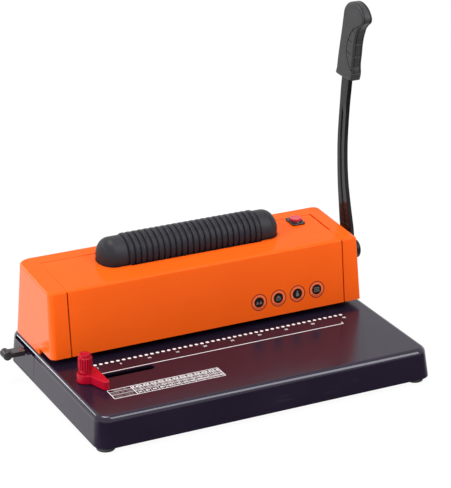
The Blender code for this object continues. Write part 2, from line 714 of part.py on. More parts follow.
def base():
    """The moulded base, its bottom plate and feet, and the parts set into it."""
    shell = base_solid(FOOT_HEIGHT)
    half_depth = BASE_DEPTH / 2
    cavity = base_solid(FOOT_HEIGHT - OVERRUN, -BASE_WALL)
    die = (FRAME_SPACING - GAP) / 2
    die_opening = box((HOLES_X - die - GAP, PUNCH_Y - DIE_DEPTH / 2 - GAP, DECK_Z - DIE_THICKNESS),
                      (HOLES_X + die + GAP, PUNCH_Y + DIE_DEPTH / 2 + GAP, DECK_Z + OVERRUN))
    slot = extruded(slot_outline(SLOT_LEFT_X, SLOT_LEFT_X + SLOT_LENGTH, SLOT_Y, SLOT_WIDTH / 2,
                                 CORNER_STEPS), "Z", DECK_Z - BASE_WALL - OVERRUN, DECK_Z + OVERRUN)
    drawer_mouth = box((BASE_LEFT_X - OVERRUN, DRAWER_Y - DRAWER_WIDTH / 2 - GAP, DRAWER_LOW - GAP),
                       (BASE_LEFT_X + BASE_WALL + BASE_DRAFT + OVERRUN,
                        DRAWER_Y + DRAWER_WIDTH / 2 + GAP, DRAWER_LOW + DRAWER_FRONT_HEIGHT + GAP))
    inlet_x = BASE_RIGHT_X - INLET_INSET
    inlet_z = FOOT_HEIGHT + INLET_LOW
    inlet_mouth = box((inlet_x - INLET_WIDTH / 2 - GAP, half_depth - BASE_WALL - BASE_DRAFT - OVERRUN,
                       inlet_z - GAP),
                      (inlet_x + INLET_WIDTH / 2 + GAP, half_depth + OVERRUN,
                       inlet_z + INLET_HEIGHT + GAP))
    piece(cut(shell, cavity, die_opening, slot, drawer_mouth, inlet_mouth), "base_shell",
          black_plastic())

    room = BASE_WALL + GAP
    corners = (BASE_FRONT_CORNER - room, BASE_REAR_CORNER - room)
    plan = [(x, y) for x, y, _, _ in
            rounded_plan(BASE_LEFT_X + room, BASE_RIGHT_X - room, -half_depth + room,
                         half_depth - room, *corners)]
    feet = {
        "foot_front_left": (BASE_LEFT_X + FOOT_INSET_X, -half_depth + FOOT_INSET_Y),
        "foot_front_right": (BASE_RIGHT_X - FOOT_INSET_X, -half_depth + FOOT_INSET_Y),
        "foot_rear_left": (BASE_LEFT_X + FOOT_REAR_INSET, half_depth - FOOT_REAR_INSET),
        "foot_rear_right": (BASE_RIGHT_X - FOOT_REAR_INSET, half_depth - FOOT_REAR_INSET),
    }
    holes = [arc(place, SPIGOT_RADIUS + GAP, 0, 330, SMALL_STEPS - 1) for place in feet.values()]
    piece(extruded(plan, "Z", BOTTOM_LOW, BOTTOM_TOP, holes=holes), "bottom_plate", plated_steel())
    for name, (x, y) in feet.items():
        profile = [(0, SPIGOT_HEIGHT + FOOT_HEIGHT), (SPIGOT_RADIUS, SPIGOT_HEIGHT + FOOT_HEIGHT),
                   (SPIGOT_RADIUS, FOOT_HEIGHT), (FOOT_RADIUS, FOOT_HEIGHT),
                   (FOOT_RADIUS, FOOT_EDGE), (FOOT_RADIUS - FOOT_EDGE, 0), (0, 0)]
        piece(turned(profile, "Z", (x, y, 0), ROUND_STEPS - CORNER_STEPS), name, dark_rubber())

    inlet = box((inlet_x - INLET_WIDTH / 2, half_depth - BASE_DRAFT - INLET_DEPTH, inlet_z),
                (inlet_x + INLET_WIDTH / 2, half_depth - BASE_DRAFT, inlet_z + INLET_HEIGHT))
    recess = box((inlet_x - INLET_WIDTH / 2 + INLET_WALL, half_depth - BASE_DRAFT - INLET_RECESS,
                  inlet_z + INLET_WALL),
                 (inlet_x + INLET_WIDTH / 2 - INLET_WALL, half_depth + OVERRUN,
                  inlet_z + INLET_HEIGHT - INLET_WALL))
    piece(cut(inlet, recess), "power_inlet", black_plastic())

    supply_x = BASE_X + SUPPLY_X
    back = rear_inside(DECK_Z + GAP + SUPPLY_HEIGHT) - SUPPLY_BACK_ROOM
    piece(box((supply_x - SUPPLY_LENGTH / 2, back - SUPPLY_DEPTH, DECK_Z + GAP),
              (supply_x + SUPPLY_LENGTH / 2, back, DECK_Z + GAP + SUPPLY_HEIGHT), BEZEL_EDGE),
          "power_supply", plated_steel())


def hole_row(radius, low, high):
    """One cutter or comb of round bars, one for each hole."""
    work = bmesh.new()
    for i in range(HOLE_COUNT):
        x = HOLES_X - HOLES_LENGTH / 2 + i * HOLE_PITCH
        place = Matrix.Translation((x, PUNCH_Y, (low + high) / 2))
        bmesh.ops.create_cone(work, cap_ends=True, segments=PIN_SIDES, radius1=radius,
                              radius2=radius, depth=high - low, matrix=place)
    mesh = bpy.data.meshes.new("row")
    work.to_mesh(mesh)
    work.free()
    obj = bpy.data.objects.new("row", mesh)
    bpy.context.scene.collection.objects.link(obj)
    return obj


def punch(holder):
    """The die, the plate that guides the pins, the paper stop and the punch itself."""
    half = (FRAME_SPACING - GAP) / 2
    left, right = HOLES_X - half, HOLES_X + half
    die = box((left, PUNCH_Y - DIE_DEPTH / 2, DECK_Z - DIE_THICKNESS),
              (right, PUNCH_Y + DIE_DEPTH / 2, DECK_Z))
    cut(die, hole_row(HOLE_RADIUS, DECK_Z - DIE_THICKNESS - OVERRUN, DECK_Z + OVERRUN))
    piece(die, "die_plate", bright_steel())

    front = PUNCH_Y - GUIDE_PLATE_FRONT
    lip_y = HOUSING_FRONT_FOOT_Y + HOUSING_WALL + LIP_ROOM
    lip_z = DECK_Z + THROAT_HEIGHT - LIP_THICKNESS
    outline = [(front, GUIDE_PLATE_LOW), (PUNCH_Y + GUIDE_PLATE_REAR, GUIDE_PLATE_LOW),
               (PUNCH_Y + GUIDE_PLATE_REAR, GUIDE_PLATE_TOP), (front, GUIDE_PLATE_TOP),
               (front, GUIDE_PLATE_LOW + LIP_THICKNESS), (lip_y, lip_z + LIP_THICKNESS),
               (lip_y, lip_z)]
    guide = extruded(outline, "X", left, right)
    cut(guide, hole_row(HOLE_RADIUS, GUIDE_PLATE_LOW - OVERRUN, GUIDE_PLATE_TOP + OVERRUN))
    piece(guide, "punch_guide_plate", plated_steel())

    stop_y = PUNCH_Y + EDGE_MARGIN
    piece(box((left, stop_y, DECK_Z + GAP),
              (right, stop_y + BACKSTOP_DEPTH, GUIDE_PLATE_LOW - GAP)), "paper_backstop",
          plated_steel())

    strip_half = HOLES_LENGTH / 2 + STRIP_OVERHANG
    half_depth = CARRIER_DEPTH / 2
    comb = box((HOLES_X - strip_half, PUNCH_Y - half_depth, STRIP_LOW),
               (HOLES_X + strip_half, PUNCH_Y + half_depth, STRIP_LOW + STRIP_THICKNESS))
    tip = GUIDE_PLATE_LOW + PIN_REST_RECESS
    fuse(comb, hole_row(PIN_RADIUS, tip, STRIP_LOW + STRIP_THICKNESS / 2))
    piece(comb, "punch_pins", bright_steel(), holder)

    inner = FRAME_SPACING / 2 - GAP
    outer = FRAME_SPACING / 2 + FRAME_THICKNESS + TONGUE_REACH
    carrier = box((HOLES_X - inner, PUNCH_Y - half_depth, CARRIER_LOW),
                  (HOLES_X + inner, PUNCH_Y + half_depth, CARRIER_LOW + CARRIER_HEIGHT))
    fuse(carrier, box((HOLES_X - outer, PUNCH_Y - half_depth, CARRIER_LOW),
                      (HOLES_X + outer, PUNCH_Y + half_depth, CARRIER_LOW + TONGUE_HEIGHT)))
    for x in (FRAME_LEFT_X + YOKE_INSET, FRAME_RIGHT_X - YOKE_INSET - YOKE_WIDTH):
        reach = WINDOW_HALF_DEPTH + YOKE_WALL
        fuse(carrier, box((x, PUNCH_Y - reach, YOKE_LOW), (x + YOKE_WIDTH, PUNCH_Y + reach, YOKE_HIGH)))
        cut(carrier, box((x - OVERRUN, PUNCH_Y - WINDOW_HALF_DEPTH, YOKE_LOW + YOKE_WALL),
                         (x + YOKE_WIDTH + OVERRUN, PUNCH_Y + WINDOW_HALF_DEPTH,
                          YOKE_HIGH - YOKE_WALL)))
    piece(carrier, "punch_carrier", plated_steel(), holder)


def spring(name, x, y, low, high):
    """A coil spring that stands between two flat faces, its end turns lying flat."""
    data = bpy.data.curves.new(name, "CURVE")
    data.dimensions = "3D"
    data.bevel_depth = SPRING_WIRE / 2
    data.bevel_resolution = 1
    data.use_fill_caps = True
    count = SPRING_TURNS * 2 * CORNER_STEPS
    radius = SPRING_RADIUS - SPRING_WIRE / 2
    bottom, top = low + SPRING_WIRE / 2, high - SPRING_WIRE / 2
    spline = data.splines.new("POLY")
    spline.points.add(count)
    for i in range(count + 1):
        share = i / count
        angle = 2 * pi * SPRING_TURNS * share
        point = (x + radius * cos(angle), y + radius * sin(angle), bottom + (top - bottom) * share, 1)
        spline.points[i].co = point
    pitch = (top - bottom) / SPRING_TURNS
    print("least gap between spring turns", round(pitch - SPRING_WIRE, 5))
    obj = bpy.data.objects.new(name, data)
    bpy.context.scene.collection.objects.link(obj)
    return settle(obj)


def side_frames():
    """The two steel frames, the shaft's bushes and the springs that lift the punch."""
    low = DECK_Z + GAP
    top = low + FRAME_HEIGHT
    bush_radius = SHAFT_RADIUS + GAP + BUSH_WALL
    sides = [("left", FRAME_LEFT_X - FRAME_THICKNESS, 1), ("right", FRAME_RIGHT_X, -1)]
    for side, x, inwards in sides:
        outline = [(SHAFT_Y - FRAME_FRONT, low), (rear_inside(low) - FRAME_REAR_ROOM, low),
                   (rear_inside(top) - FRAME_REAR_ROOM, top), (SHAFT_Y - FRAME_TOP_FRONT, top),
                   (SHAFT_Y - FRAME_FRONT, low + FRAME_SHOULDER)]
        frame = extruded(outline, "X", x, x + FRAME_THICKNESS)
        inner = x + FRAME_THICKNESS / 2
        tab = inner + inwards * (FRAME_TAB_WIDTH + FRAME_THICKNESS / 2)
        screw_x = screw_place(inwards, x)
        for height in (FRAME_TAB_LOW, FRAME_TAB_HIGH):
            tab_low = low + height
            rear = tab_rear(tab_low)
            fuse(frame, box((min(inner, tab), rear - FRAME_THICKNESS, tab_low),
                            (max(inner, tab), rear, tab_low + FRAME_TAB_HEIGHT)))
            cut(frame, cylinder(SCREW_RADIUS + SCREW_CLEARANCE, "Y",
                                (screw_x, 0, tab_low + FRAME_TAB_HEIGHT / 2),
                                rear - FRAME_THICKNESS - OVERRUN, rear + OVERRUN, SMALL_STEPS))
        cut(frame, cylinder(bush_radius + GAP, "X", (0, SHAFT_Y, SHAFT_Z), x - OVERRUN,
                            x + FRAME_THICKNESS + OVERRUN))
        slot_half = CARRIER_DEPTH / 2 + GAP
        cut(frame, box((x - OVERRUN, PUNCH_Y - slot_half, CARRIER_LOW - PUNCH_TRAVEL - 2 * GAP),
                       (x + FRAME_THICKNESS + OVERRUN, PUNCH_Y + slot_half,
                        CARRIER_LOW + TONGUE_HEIGHT + GAP)))
        piece(frame, "side_frame_" + side, plated_steel())

        outer_x = x if inwards > 0 else x + FRAME_THICKNESS
        flange = (outer_x - GAP - BUSH_FLANGE, outer_x - GAP)
        if inwards < 0:
            flange = (outer_x + GAP, outer_x + GAP + BUSH_FLANGE)
        bush = cylinder(bush_radius, "X", (0, SHAFT_Y, SHAFT_Z), min(flange[0], x),
                        max(flange[1], x + FRAME_THICKNESS), bore=SHAFT_RADIUS + GAP)
        fuse(bush, cylinder(bush_radius + BUSH_FLANGE_WIDTH, "X", (0, SHAFT_Y, SHAFT_Z), *flange,
                            bore=SHAFT_RADIUS + GAP + BUSH_WALL / 2))
        piece(bush, "shaft_bush_" + side, bronze())

    middles = {"left": FRAME_LEFT_X + YOKE_INSET + YOKE_WIDTH / 2,
               "right": FRAME_RIGHT_X - YOKE_INSET - YOKE_WIDTH / 2}
    for side, x in middles.items():
        piece(spring("return_spring_" + side, x, PUNCH_Y + SPRING_BACK, GUIDE_PLATE_TOP + GAP,
                     YOKE_LOW - GAP), "return_spring_" + side, bright_steel())


def tab_rear(tab_low):
    """Rear face of a frame's tab, clear of the housing's back up to the tab's top."""
    return rear_inside(tab_low + FRAME_TAB_HEIGHT) - FRAME_REAR_ROOM - GAP


def screw_place(inwards, x):
    """Where a casing screw stands on its frame's tab."""
    return x + FRAME_THICKNESS / 2 + inwards * (FRAME_THICKNESS + FRAME_TAB_WIDTH) / 2


def arm_outline(low_share, grow):
    """The bowed arm's outline in (y, z), up its rear edge and down its front edge."""
    rear, front = [], []
    for height, bow, width in ARM_SHARES:
        if height < low_share:
            continue
        y = SHAFT_Y + bow * ARM_BOW
        half = width * ARM_WIDTH / 2 + grow
        z = SHAFT_Z + height * ARM_LENGTH
        rear.append((y + half, z))
        front.append((y - half, z))
    top_y, top_z = rear[-1]
    rear[-1] = (top_y, top_z + grow)
    front[-1] = (front[-1][0], top_z + grow)
    return rear + front[::-1]


def shaft_and_lever(holder):
    """The main shaft with its two eccentrics, and the lever on the shaft's right end."""
    centre = (0, SHAFT_Y, SHAFT_Z)
    left_end = FRAME_LEFT_X - FRAME_THICKNESS - BUSH_FLANGE - TONGUE_REACH
    arm_left = BASE_RIGHT_X + LEVER_GAP_X
    arm_right = arm_left + ARM_THICKNESS
    piece(cylinder(SHAFT_RADIUS, "X", centre, left_end, arm_right, edge=ARM_EDGE), "main_shaft",
          bright_steel(), holder)
    bore = SHAFT_RADIUS + GAP
    play = (YOKE_WIDTH - CAM_WIDTH) / 2
    for side, x in (("left", FRAME_LEFT_X + YOKE_INSET + play),
                    ("right", FRAME_RIGHT_X - YOKE_INSET - YOKE_WIDTH + play)):
        cam = cylinder(CAM_RADIUS, "X", (0, CAM_REST_Y, CAM_REST_Z), x, x + CAM_WIDTH)
        cut(cam, cylinder(bore, "X", centre, x - OVERRUN, x + CAM_WIDTH + OVERRUN))
        piece(cam, "eccentric_" + side, bright_steel(), holder)

    piece(cylinder(HUB_RADIUS, "X", centre, HUB_START_X, arm_left - GAP, bore=bore, edge=ARM_EDGE),
          "lever_hub", black_plastic(), holder)
    eye = arc((SHAFT_Y, SHAFT_Z), ARM_EYE_RADIUS, 170, 370, SMALL_STEPS)
    arm = extruded(arm_outline(0, 0) + eye, "X", arm_left, arm_right, bevel=ARM_EDGE)
    cut(arm, cylinder(bore, "X", centre, arm_left - OVERRUN, arm_right + OVERRUN))
    piece(arm, "lever_arm", black_paint(), holder)

    grip_low = SHAFT_Z + ARM_LENGTH - GRIP_LAP
    outline = [(SHAFT_Y + y * GRIP_WIDTH, grip_low + z * GRIP_LENGTH)
               for y, z in GRIP_SHARES]
    middle = (arm_left + arm_right) / 2
    grip = extruded(outline, "X", middle - GRIP_THICKNESS / 2, middle + GRIP_THICKNESS / 2,
                    bevel=GRIP_EDGE)
    socket = extruded(arm_outline(ARM_SHARES[-3][0], GAP), "X", arm_left - GAP, arm_right + GAP)
    piece(cut(grip, socket), "lever_grip", grip_plastic(), holder)

    boss = [(0, LEVER_END_X), (BOSS_RADIUS - BOSS_EDGE, LEVER_END_X),
            (BOSS_RADIUS, LEVER_END_X - BOSS_EDGE), (BOSS_RADIUS, arm_right + GAP),
            (0, arm_right + GAP)]
    piece(turned(boss, "X", centre), "lever_boss", black_plastic(), holder)


def housing():
    """The orange casing with its two ends and back, the cover and the casing screws."""
    low = DECK_Z + GAP
    inside = DECK_Z - OVERRUN
    far = BASE_WIDTH

    def shell():
        return cut(housing_solid(low), housing_solid(inside, -HOUSING_WALL))

    def cover_region(gap, low_z):
        return box((COVER_LEFT_X + gap, -far, low_z), (COVER_RIGHT_X - gap, COVER_BACK_Y - gap, far))

    sink = ROLLER_Z - housing_top(ROLLER_Y)
    opening_low = DECK_Z + HOUSING_FRONT_HEIGHT - HOUSING_REAR_EDGE
    chord = (SHROUD_RADIUS ** 2 - sink ** 2) ** 0.5
    opening = extruded(dome_slot(chord), "Z", opening_low, far)
    sleeve_room = (SLEEVE_RADIUS ** 2 - sink ** 2) ** 0.5 + ROLLER_OPENING_MARGIN
    sleeve_opening = box((SLEEVE_LEFT_X - SHROUD_GAP, ROLLER_Y - sleeve_room, opening_low),
                         (SLEEVE_RIGHT_X + SHROUD_GAP, ROLLER_Y + sleeve_room, far))
    switch_opening = on_slope(switch_box(BEZEL_WIDTH / 2 - SWITCH_BODY_MARGIN + GAP,
                                         BEZEL_DEPTH / 2 - SWITCH_BODY_MARGIN + GAP,
                                         -SWITCH_BODY_DEPTH, SWITCH_BODY_DEPTH))
    cover = shell()
    combine(cover, cover_region(SEAM / 2, DECK_Z + THROAT_HEIGHT), "INTERSECT")
    cut(cover, opening, sleeve_opening, switch_opening)
    piece(cover, "front_cover", orange_plastic())

    casing = shell()
    cut(casing, cover_region(-SEAM / 2, -far))
    cut(casing, box((-far, -far, 0), (far, HOUSING_FRONT_FOOT_Y + THROAT_NOTCH, DECK_Z + THROAT_HEIGHT)))
    cut(casing, cylinder(SHAFT_RADIUS + SHAFT_HOLE_ROOM, "X", (0, SHAFT_Y, SHAFT_Z), FRAME_RIGHT_X, far))
    for side, x, inwards in (("left", FRAME_LEFT_X - FRAME_THICKNESS, 1), ("right", FRAME_RIGHT_X, -1)):
        screw_x = screw_place(inwards, x)
        for level, height in (("low", FRAME_TAB_LOW), ("high", FRAME_TAB_HIGH)):
            tab = tab_rear(low + height)
            z = low + height + FRAME_TAB_HEIGHT / 2
            seat = rear_inside(z) + HOUSING_WALL - SCREW_SEAT
            centre = (screw_x, 0, z)
            cut(casing,
                cylinder(SCREW_RADIUS + SCREW_CLEARANCE, "Y", centre, tab, far, SMALL_STEPS),
                cylinder(SCREW_HEAD_RADIUS + SCREW_CLEARANCE, "Y", centre, seat, far, SMALL_STEPS))
            crown = seat + GAP + SCREW_HEAD_HEIGHT
            tip = tab - FRAME_THICKNESS - OVERRUN
            profile = [(0, crown), (SCREW_HEAD_RADIUS - SCREW_SEAT, crown),
                       (SCREW_HEAD_RADIUS, crown - SCREW_SEAT), (SCREW_HEAD_RADIUS, seat + GAP),
                       (SCREW_RADIUS, seat + GAP), (SCREW_RADIUS, tip), (0, tip)]
            piece(turned(profile, "Y", centre, SMALL_STEPS), f"casing_screw_{side}_{level}", plated_steel())
    piece(casing, "rear_casing", orange_plastic())


def sleeve_profile():
    """The ribbed sleeve, down its outer side and back through its bore."""
    pitch = SLEEVE_LENGTH / SLEEVE_RIBS
    root = SLEEVE_RADIUS - SLEEVE_GROOVE
    bore = SLEEVE_RADIUS - SLEEVE_WALL
    points = [(bore, SLEEVE_RIGHT_X), (root, SLEEVE_RIGHT_X)]
    for i in range(SLEEVE_RIBS):
        top = SLEEVE_RIGHT_X - i * pitch
        points.append((SLEEVE_RADIUS, top - pitch / 2))
        points.append((root, top - pitch))
    return points + [(bore, SLEEVE_LEFT_X)]


def dome_slot(chord):
    """The outline, with a margin, of the shrouds where they pass through the top."""
    count = 2 * CORNER_STEPS
    half = chord + ROLLER_OPENING_MARGIN
    depth = SHROUD_DOME * chord / SHROUD_RADIUS + ROLLER_OPENING_MARGIN
    left = SLEEVE_LEFT_X - SHROUD_LEFT_LENGTH + SHROUD_DOME
    right = SLEEVE_RIGHT_X + SHROUD_RIGHT_LENGTH - SHROUD_DOME
    points = []
    for x, start in ((right, -pi / 2), (left, pi / 2)):
        for i in range(count + 1):
            angle = start + pi * i / count
            points.append((x + depth * cos(angle), ROLLER_Y + half * sin(angle)))
    return points


def dome_profile(radius, dome, tip, rim, toward):
    """Half outline of a domed end, from its tip on the axis to its rim."""
    count = 2 * EDGE_STEPS
    points = []
    for i in range(count + 1):
        angle = pi / 2 * i / count
        points.append((radius * sin(angle), tip - toward * dome * (1 - cos(angle))))
    points[0] = (0, tip)
    return points + [(radius, rim)]


def on_slope(obj):
    """Sets a shape made about the origin on the sloping top, where the switch is."""
    place = Matrix.Translation((SWITCH_X, SWITCH_Y, housing_top(SWITCH_Y)))
    obj.matrix_world = place @ Matrix.Rotation(HOUSING_SLOPE, 4, "X") @ obj.matrix_world
    return obj


def switch_box(half_x, half_y, low, high, bevel=0.0):
    return box((-half_x, -half_y, low), (half_x, half_y, high), bevel)


def roller(holder):
    """The ribbed coil roller, and the shrouds, bearings and cradle that hold it."""
    centre = (0, ROLLER_Y, ROLLER_Z)
    piece(turned(sleeve_profile(), "X", centre, SLEEVE_STEPS), "roller_sleeve", dark_rubber(), holder)
    left_end, right_end = LEFT_ARM_X, RIGHT_ARM_X + ARM_PLATE
    shaft = ROLLER_SHAFT_RADIUS
    core = [(0, right_end), (shaft, right_end), (shaft, SLEEVE_RIGHT_X - GAP),
            (CORE_RADIUS, SLEEVE_RIGHT_X - GAP), (CORE_RADIUS, SLEEVE_LEFT_X + GAP),
            (shaft, SLEEVE_LEFT_X + GAP), (shaft, left_end), (0, left_end)]
    piece(turned(core, "X", centre, SLEEVE_STEPS), "roller_shaft", bright_steel(), holder)

    ends = (("left", SLEEVE_LEFT_X - SHROUD_GAP, SLEEVE_LEFT_X - SHROUD_LEFT_LENGTH, -1, LEFT_ARM_X),
            ("right", SLEEVE_RIGHT_X + SHROUD_GAP, SLEEVE_RIGHT_X + SHROUD_RIGHT_LENGTH, 1,
             RIGHT_ARM_X + ARM_PLATE))
    for side, rim, tip, toward, arm in ends:
        outer = dome_profile(SHROUD_RADIUS, SHROUD_DOME, tip, rim, toward)
        inner = dome_profile(SHROUD_RADIUS - SHROUD_WALL, SHROUD_DOME - SHROUD_WALL,
                             tip - toward * SHROUD_WALL, rim, toward)
        shroud = turned(outer + inner[::-1], "X", centre, SLEEVE_STEPS)
        boss = sorted((arm + toward * GAP, tip - toward * SHROUD_WALL / 2))
        fuse(shroud, cylinder(SHROUD_BOSS_RADIUS, "X", centre, *boss, SMALL_STEPS))
        open_end, closed_end = sorted((rim - toward * OVERRUN, arm + toward * ARM_PLATE))
        cut(shroud, box((open_end, ROLLER_Y - SLEEVE_RADIUS, ROLLER_Z - SLEEVE_RADIUS),
                        (closed_end, ROLLER_Y + SLEEVE_RADIUS, ROLLER_Z - SHROUD_CUT)))
        piece(shroud, "roller_shroud_" + side, charcoal_plastic())

    plate_low = CRADLE_Z
    plate_top = plate_low + CRADLE_PLATE
    cradle = box((LEFT_ARM_X, ROLLER_Y - CRADLE_FRONT, plate_low),
                 (RIGHT_ARM_X + ARM_PLATE, ROLLER_Y + CRADLE_BACK, plate_top))
    wall_left, wall_right = SLEEVE_LEFT_X + CRADLE_WALL_INSET, SLEEVE_RIGHT_X - CRADLE_WALL_INSET
    wall_back = ROLLER_Y + CRADLE_WALL_BACK
    outline = [(ROLLER_Y, plate_low), (wall_back - CRADLE_PLATE, plate_low),
               (wall_back - CRADLE_PLATE, DECK_Z + GAP), (wall_back, DECK_Z + GAP),
               (wall_back, plate_top), (ROLLER_Y, plate_top)]
    fuse(cradle, extruded(outline, "X", wall_left, wall_right))
    bearing_radius = ROLLER_SHAFT_RADIUS + GAP + BEARING_WALL
    for side, x in (("left", LEFT_ARM_X), ("right", RIGHT_ARM_X)):
        crown = arc((ROLLER_Y, ROLLER_Z), ARM_RADIUS, 0, 180, 2 * CORNER_STEPS)
        outline = crown + [(ROLLER_Y - ARM_RADIUS, plate_low), (ROLLER_Y + ARM_RADIUS, plate_low)]
        fuse(cradle, extruded(outline, "X", x, x + ARM_PLATE))
        cut(cradle, cylinder(bearing_radius + GAP, "X", centre, x - OVERRUN, x + ARM_PLATE + OVERRUN))
        piece(cylinder(bearing_radius, "X", centre, x, x + ARM_PLATE, SMALL_STEPS + CORNER_STEPS,
                       bore=ROLLER_SHAFT_RADIUS + GAP), "roller_bearing_" + side, bronze())
    piece(cradle, "roller_cradle", plated_steel())


def pulley_profile(radius, bore):
    """A flanged pulley, down its outer side and back through its bore."""
    flange = radius + PULLEY_FLANGE
    left, right = PULLEY_LEFT_X, PULLEY_RIGHT_X
    return [(bore, right), (flange, right), (flange, right - PULLEY_FLANGE_WIDTH),
            (radius, right - PULLEY_FLANGE_WIDTH), (radius, left + PULLEY_FLANGE_WIDTH),
            (flange, left + PULLEY_FLANGE_WIDTH), (flange, left), (bore, left)]


def belt_loop(grow):
    """The belt's outline in (y, z): two round ends and the straight runs between them."""
    run = Vector((MOTOR_Y - ROLLER_Y, MOTOR_Z - ROLLER_Z))
    heading = atan2(run.y, run.x)
    spread = acos((PULLEY_RADIUS - MOTOR_PULLEY_RADIUS) / run.length)
    turn, lean = degrees(heading), degrees(spread)
    big, small = PULLEY_RADIUS + grow, MOTOR_PULLEY_RADIUS + grow
    return (arc((ROLLER_Y, ROLLER_Z), big, turn + lean, turn - lean + 360, 3 * CORNER_STEPS)
            + arc((MOTOR_Y, MOTOR_Z), small, turn - lean, turn + lean, 2 * CORNER_STEPS))


def drive(roller_holder, motor_holder):
    """The motor with its bracket, and the belt and two pulleys that turn the roller."""
    centre = (0, ROLLER_Y, ROLLER_Z)
    piece(turned(pulley_profile(PULLEY_RADIUS, ROLLER_SHAFT_RADIUS + GAP), "X", centre, ROUND_STEPS),
          "driven_pulley", black_plastic(), roller_holder)
    motor_centre = (0, MOTOR_Y, MOTOR_Z)
    bracket_right = PULLEY_LEFT_X - BRACKET_ROOM
    bracket_left = bracket_right - BRACKET_THICKNESS
    motor_right = bracket_left - GAP
    spindle_end = motor_right - MOTOR_SPINDLE_DEPTH
    rotor = pulley_profile(MOTOR_PULLEY_RADIUS, MOTOR_SPINDLE)
    rotor = [(0, PULLEY_RIGHT_X)] + rotor[1:] + [(MOTOR_SPINDLE, spindle_end), (0, spindle_end)]
    piece(turned(rotor, "X", motor_centre, SMALL_STEPS + CORNER_STEPS), "motor_pulley",
          bright_steel(), motor_holder)
    belt_low = PULLEY_LEFT_X + PULLEY_FLANGE_WIDTH + BELT_SIDE_ROOM
    belt_high = PULLEY_RIGHT_X - PULLEY_FLANGE_WIDTH - BELT_SIDE_ROOM
    piece(extruded(belt_loop(GAP + BELT_THICKNESS), "X", belt_low, belt_high, holes=[belt_loop(GAP)]),
          "drive_belt", dark_rubber())
    motor = cylinder(MOTOR_RADIUS, "X", motor_centre, motor_right - MOTOR_LENGTH, motor_right,
                     edge=BRACKET_THICKNESS)
    cut(motor, cylinder(MOTOR_SPINDLE + GAP, "X", motor_centre, spindle_end - GAP,
                        motor_right + OVERRUN, SMALL_STEPS))
    piece(motor, "roller_motor", plated_steel())
    reach = MOTOR_RADIUS + BRACKET_MARGIN
    low = DECK_Z + GAP
    bracket = box((bracket_left, MOTOR_Y - reach, low), (bracket_right, MOTOR_Y + reach, MOTOR_Z + reach))
    fuse(bracket, box((bracket_left - BRACKET_FOOT, MOTOR_Y - reach, low),
                      (bracket_right, MOTOR_Y + reach, low + BRACKET_THICKNESS)))
    cut(bracket, cylinder(2 * MOTOR_SPINDLE, "X", motor_centre, bracket_left - OVERRUN,
                          bracket_right + OVERRUN, SMALL_STEPS))
    piece(bracket, "motor_bracket", plated_steel())


def switch(holder):
    """The push button of the roller in its square bezel."""
    bezel = switch_box(BEZEL_WIDTH / 2, BEZEL_DEPTH / 2, GAP, GAP + BEZEL_HEIGHT, BEZEL_EDGE)
    fuse(bezel, switch_box(BEZEL_WIDTH / 2 - SWITCH_BODY_MARGIN, BEZEL_DEPTH / 2 - SWITCH_BODY_MARGIN,
                           -SWITCH_BODY_DEPTH, GAP + BEZEL_HEIGHT / 2))
    cut(bezel, cylinder(BUTTON_RADIUS + GAP, "Z", (0, 0, 0), -BUTTON_STEM - 2 * BUTTON_TRAVEL,
                        BEZEL_HEIGHT + OVERRUN))
    for tool in bezel.modifiers:
        on_slope(tool.object)
    piece(on_slope(bezel), "switch_bezel", black_plastic())
    top = GAP + BEZEL_HEIGHT + BUTTON_HEIGHT
    button = cylinder(BUTTON_RADIUS, "Z", (0, 0, 0), -BUTTON_STEM, top, edge=BUTTON_EDGE)
    piece(on_slope(button), "switch_button", button_plastic(), holder)


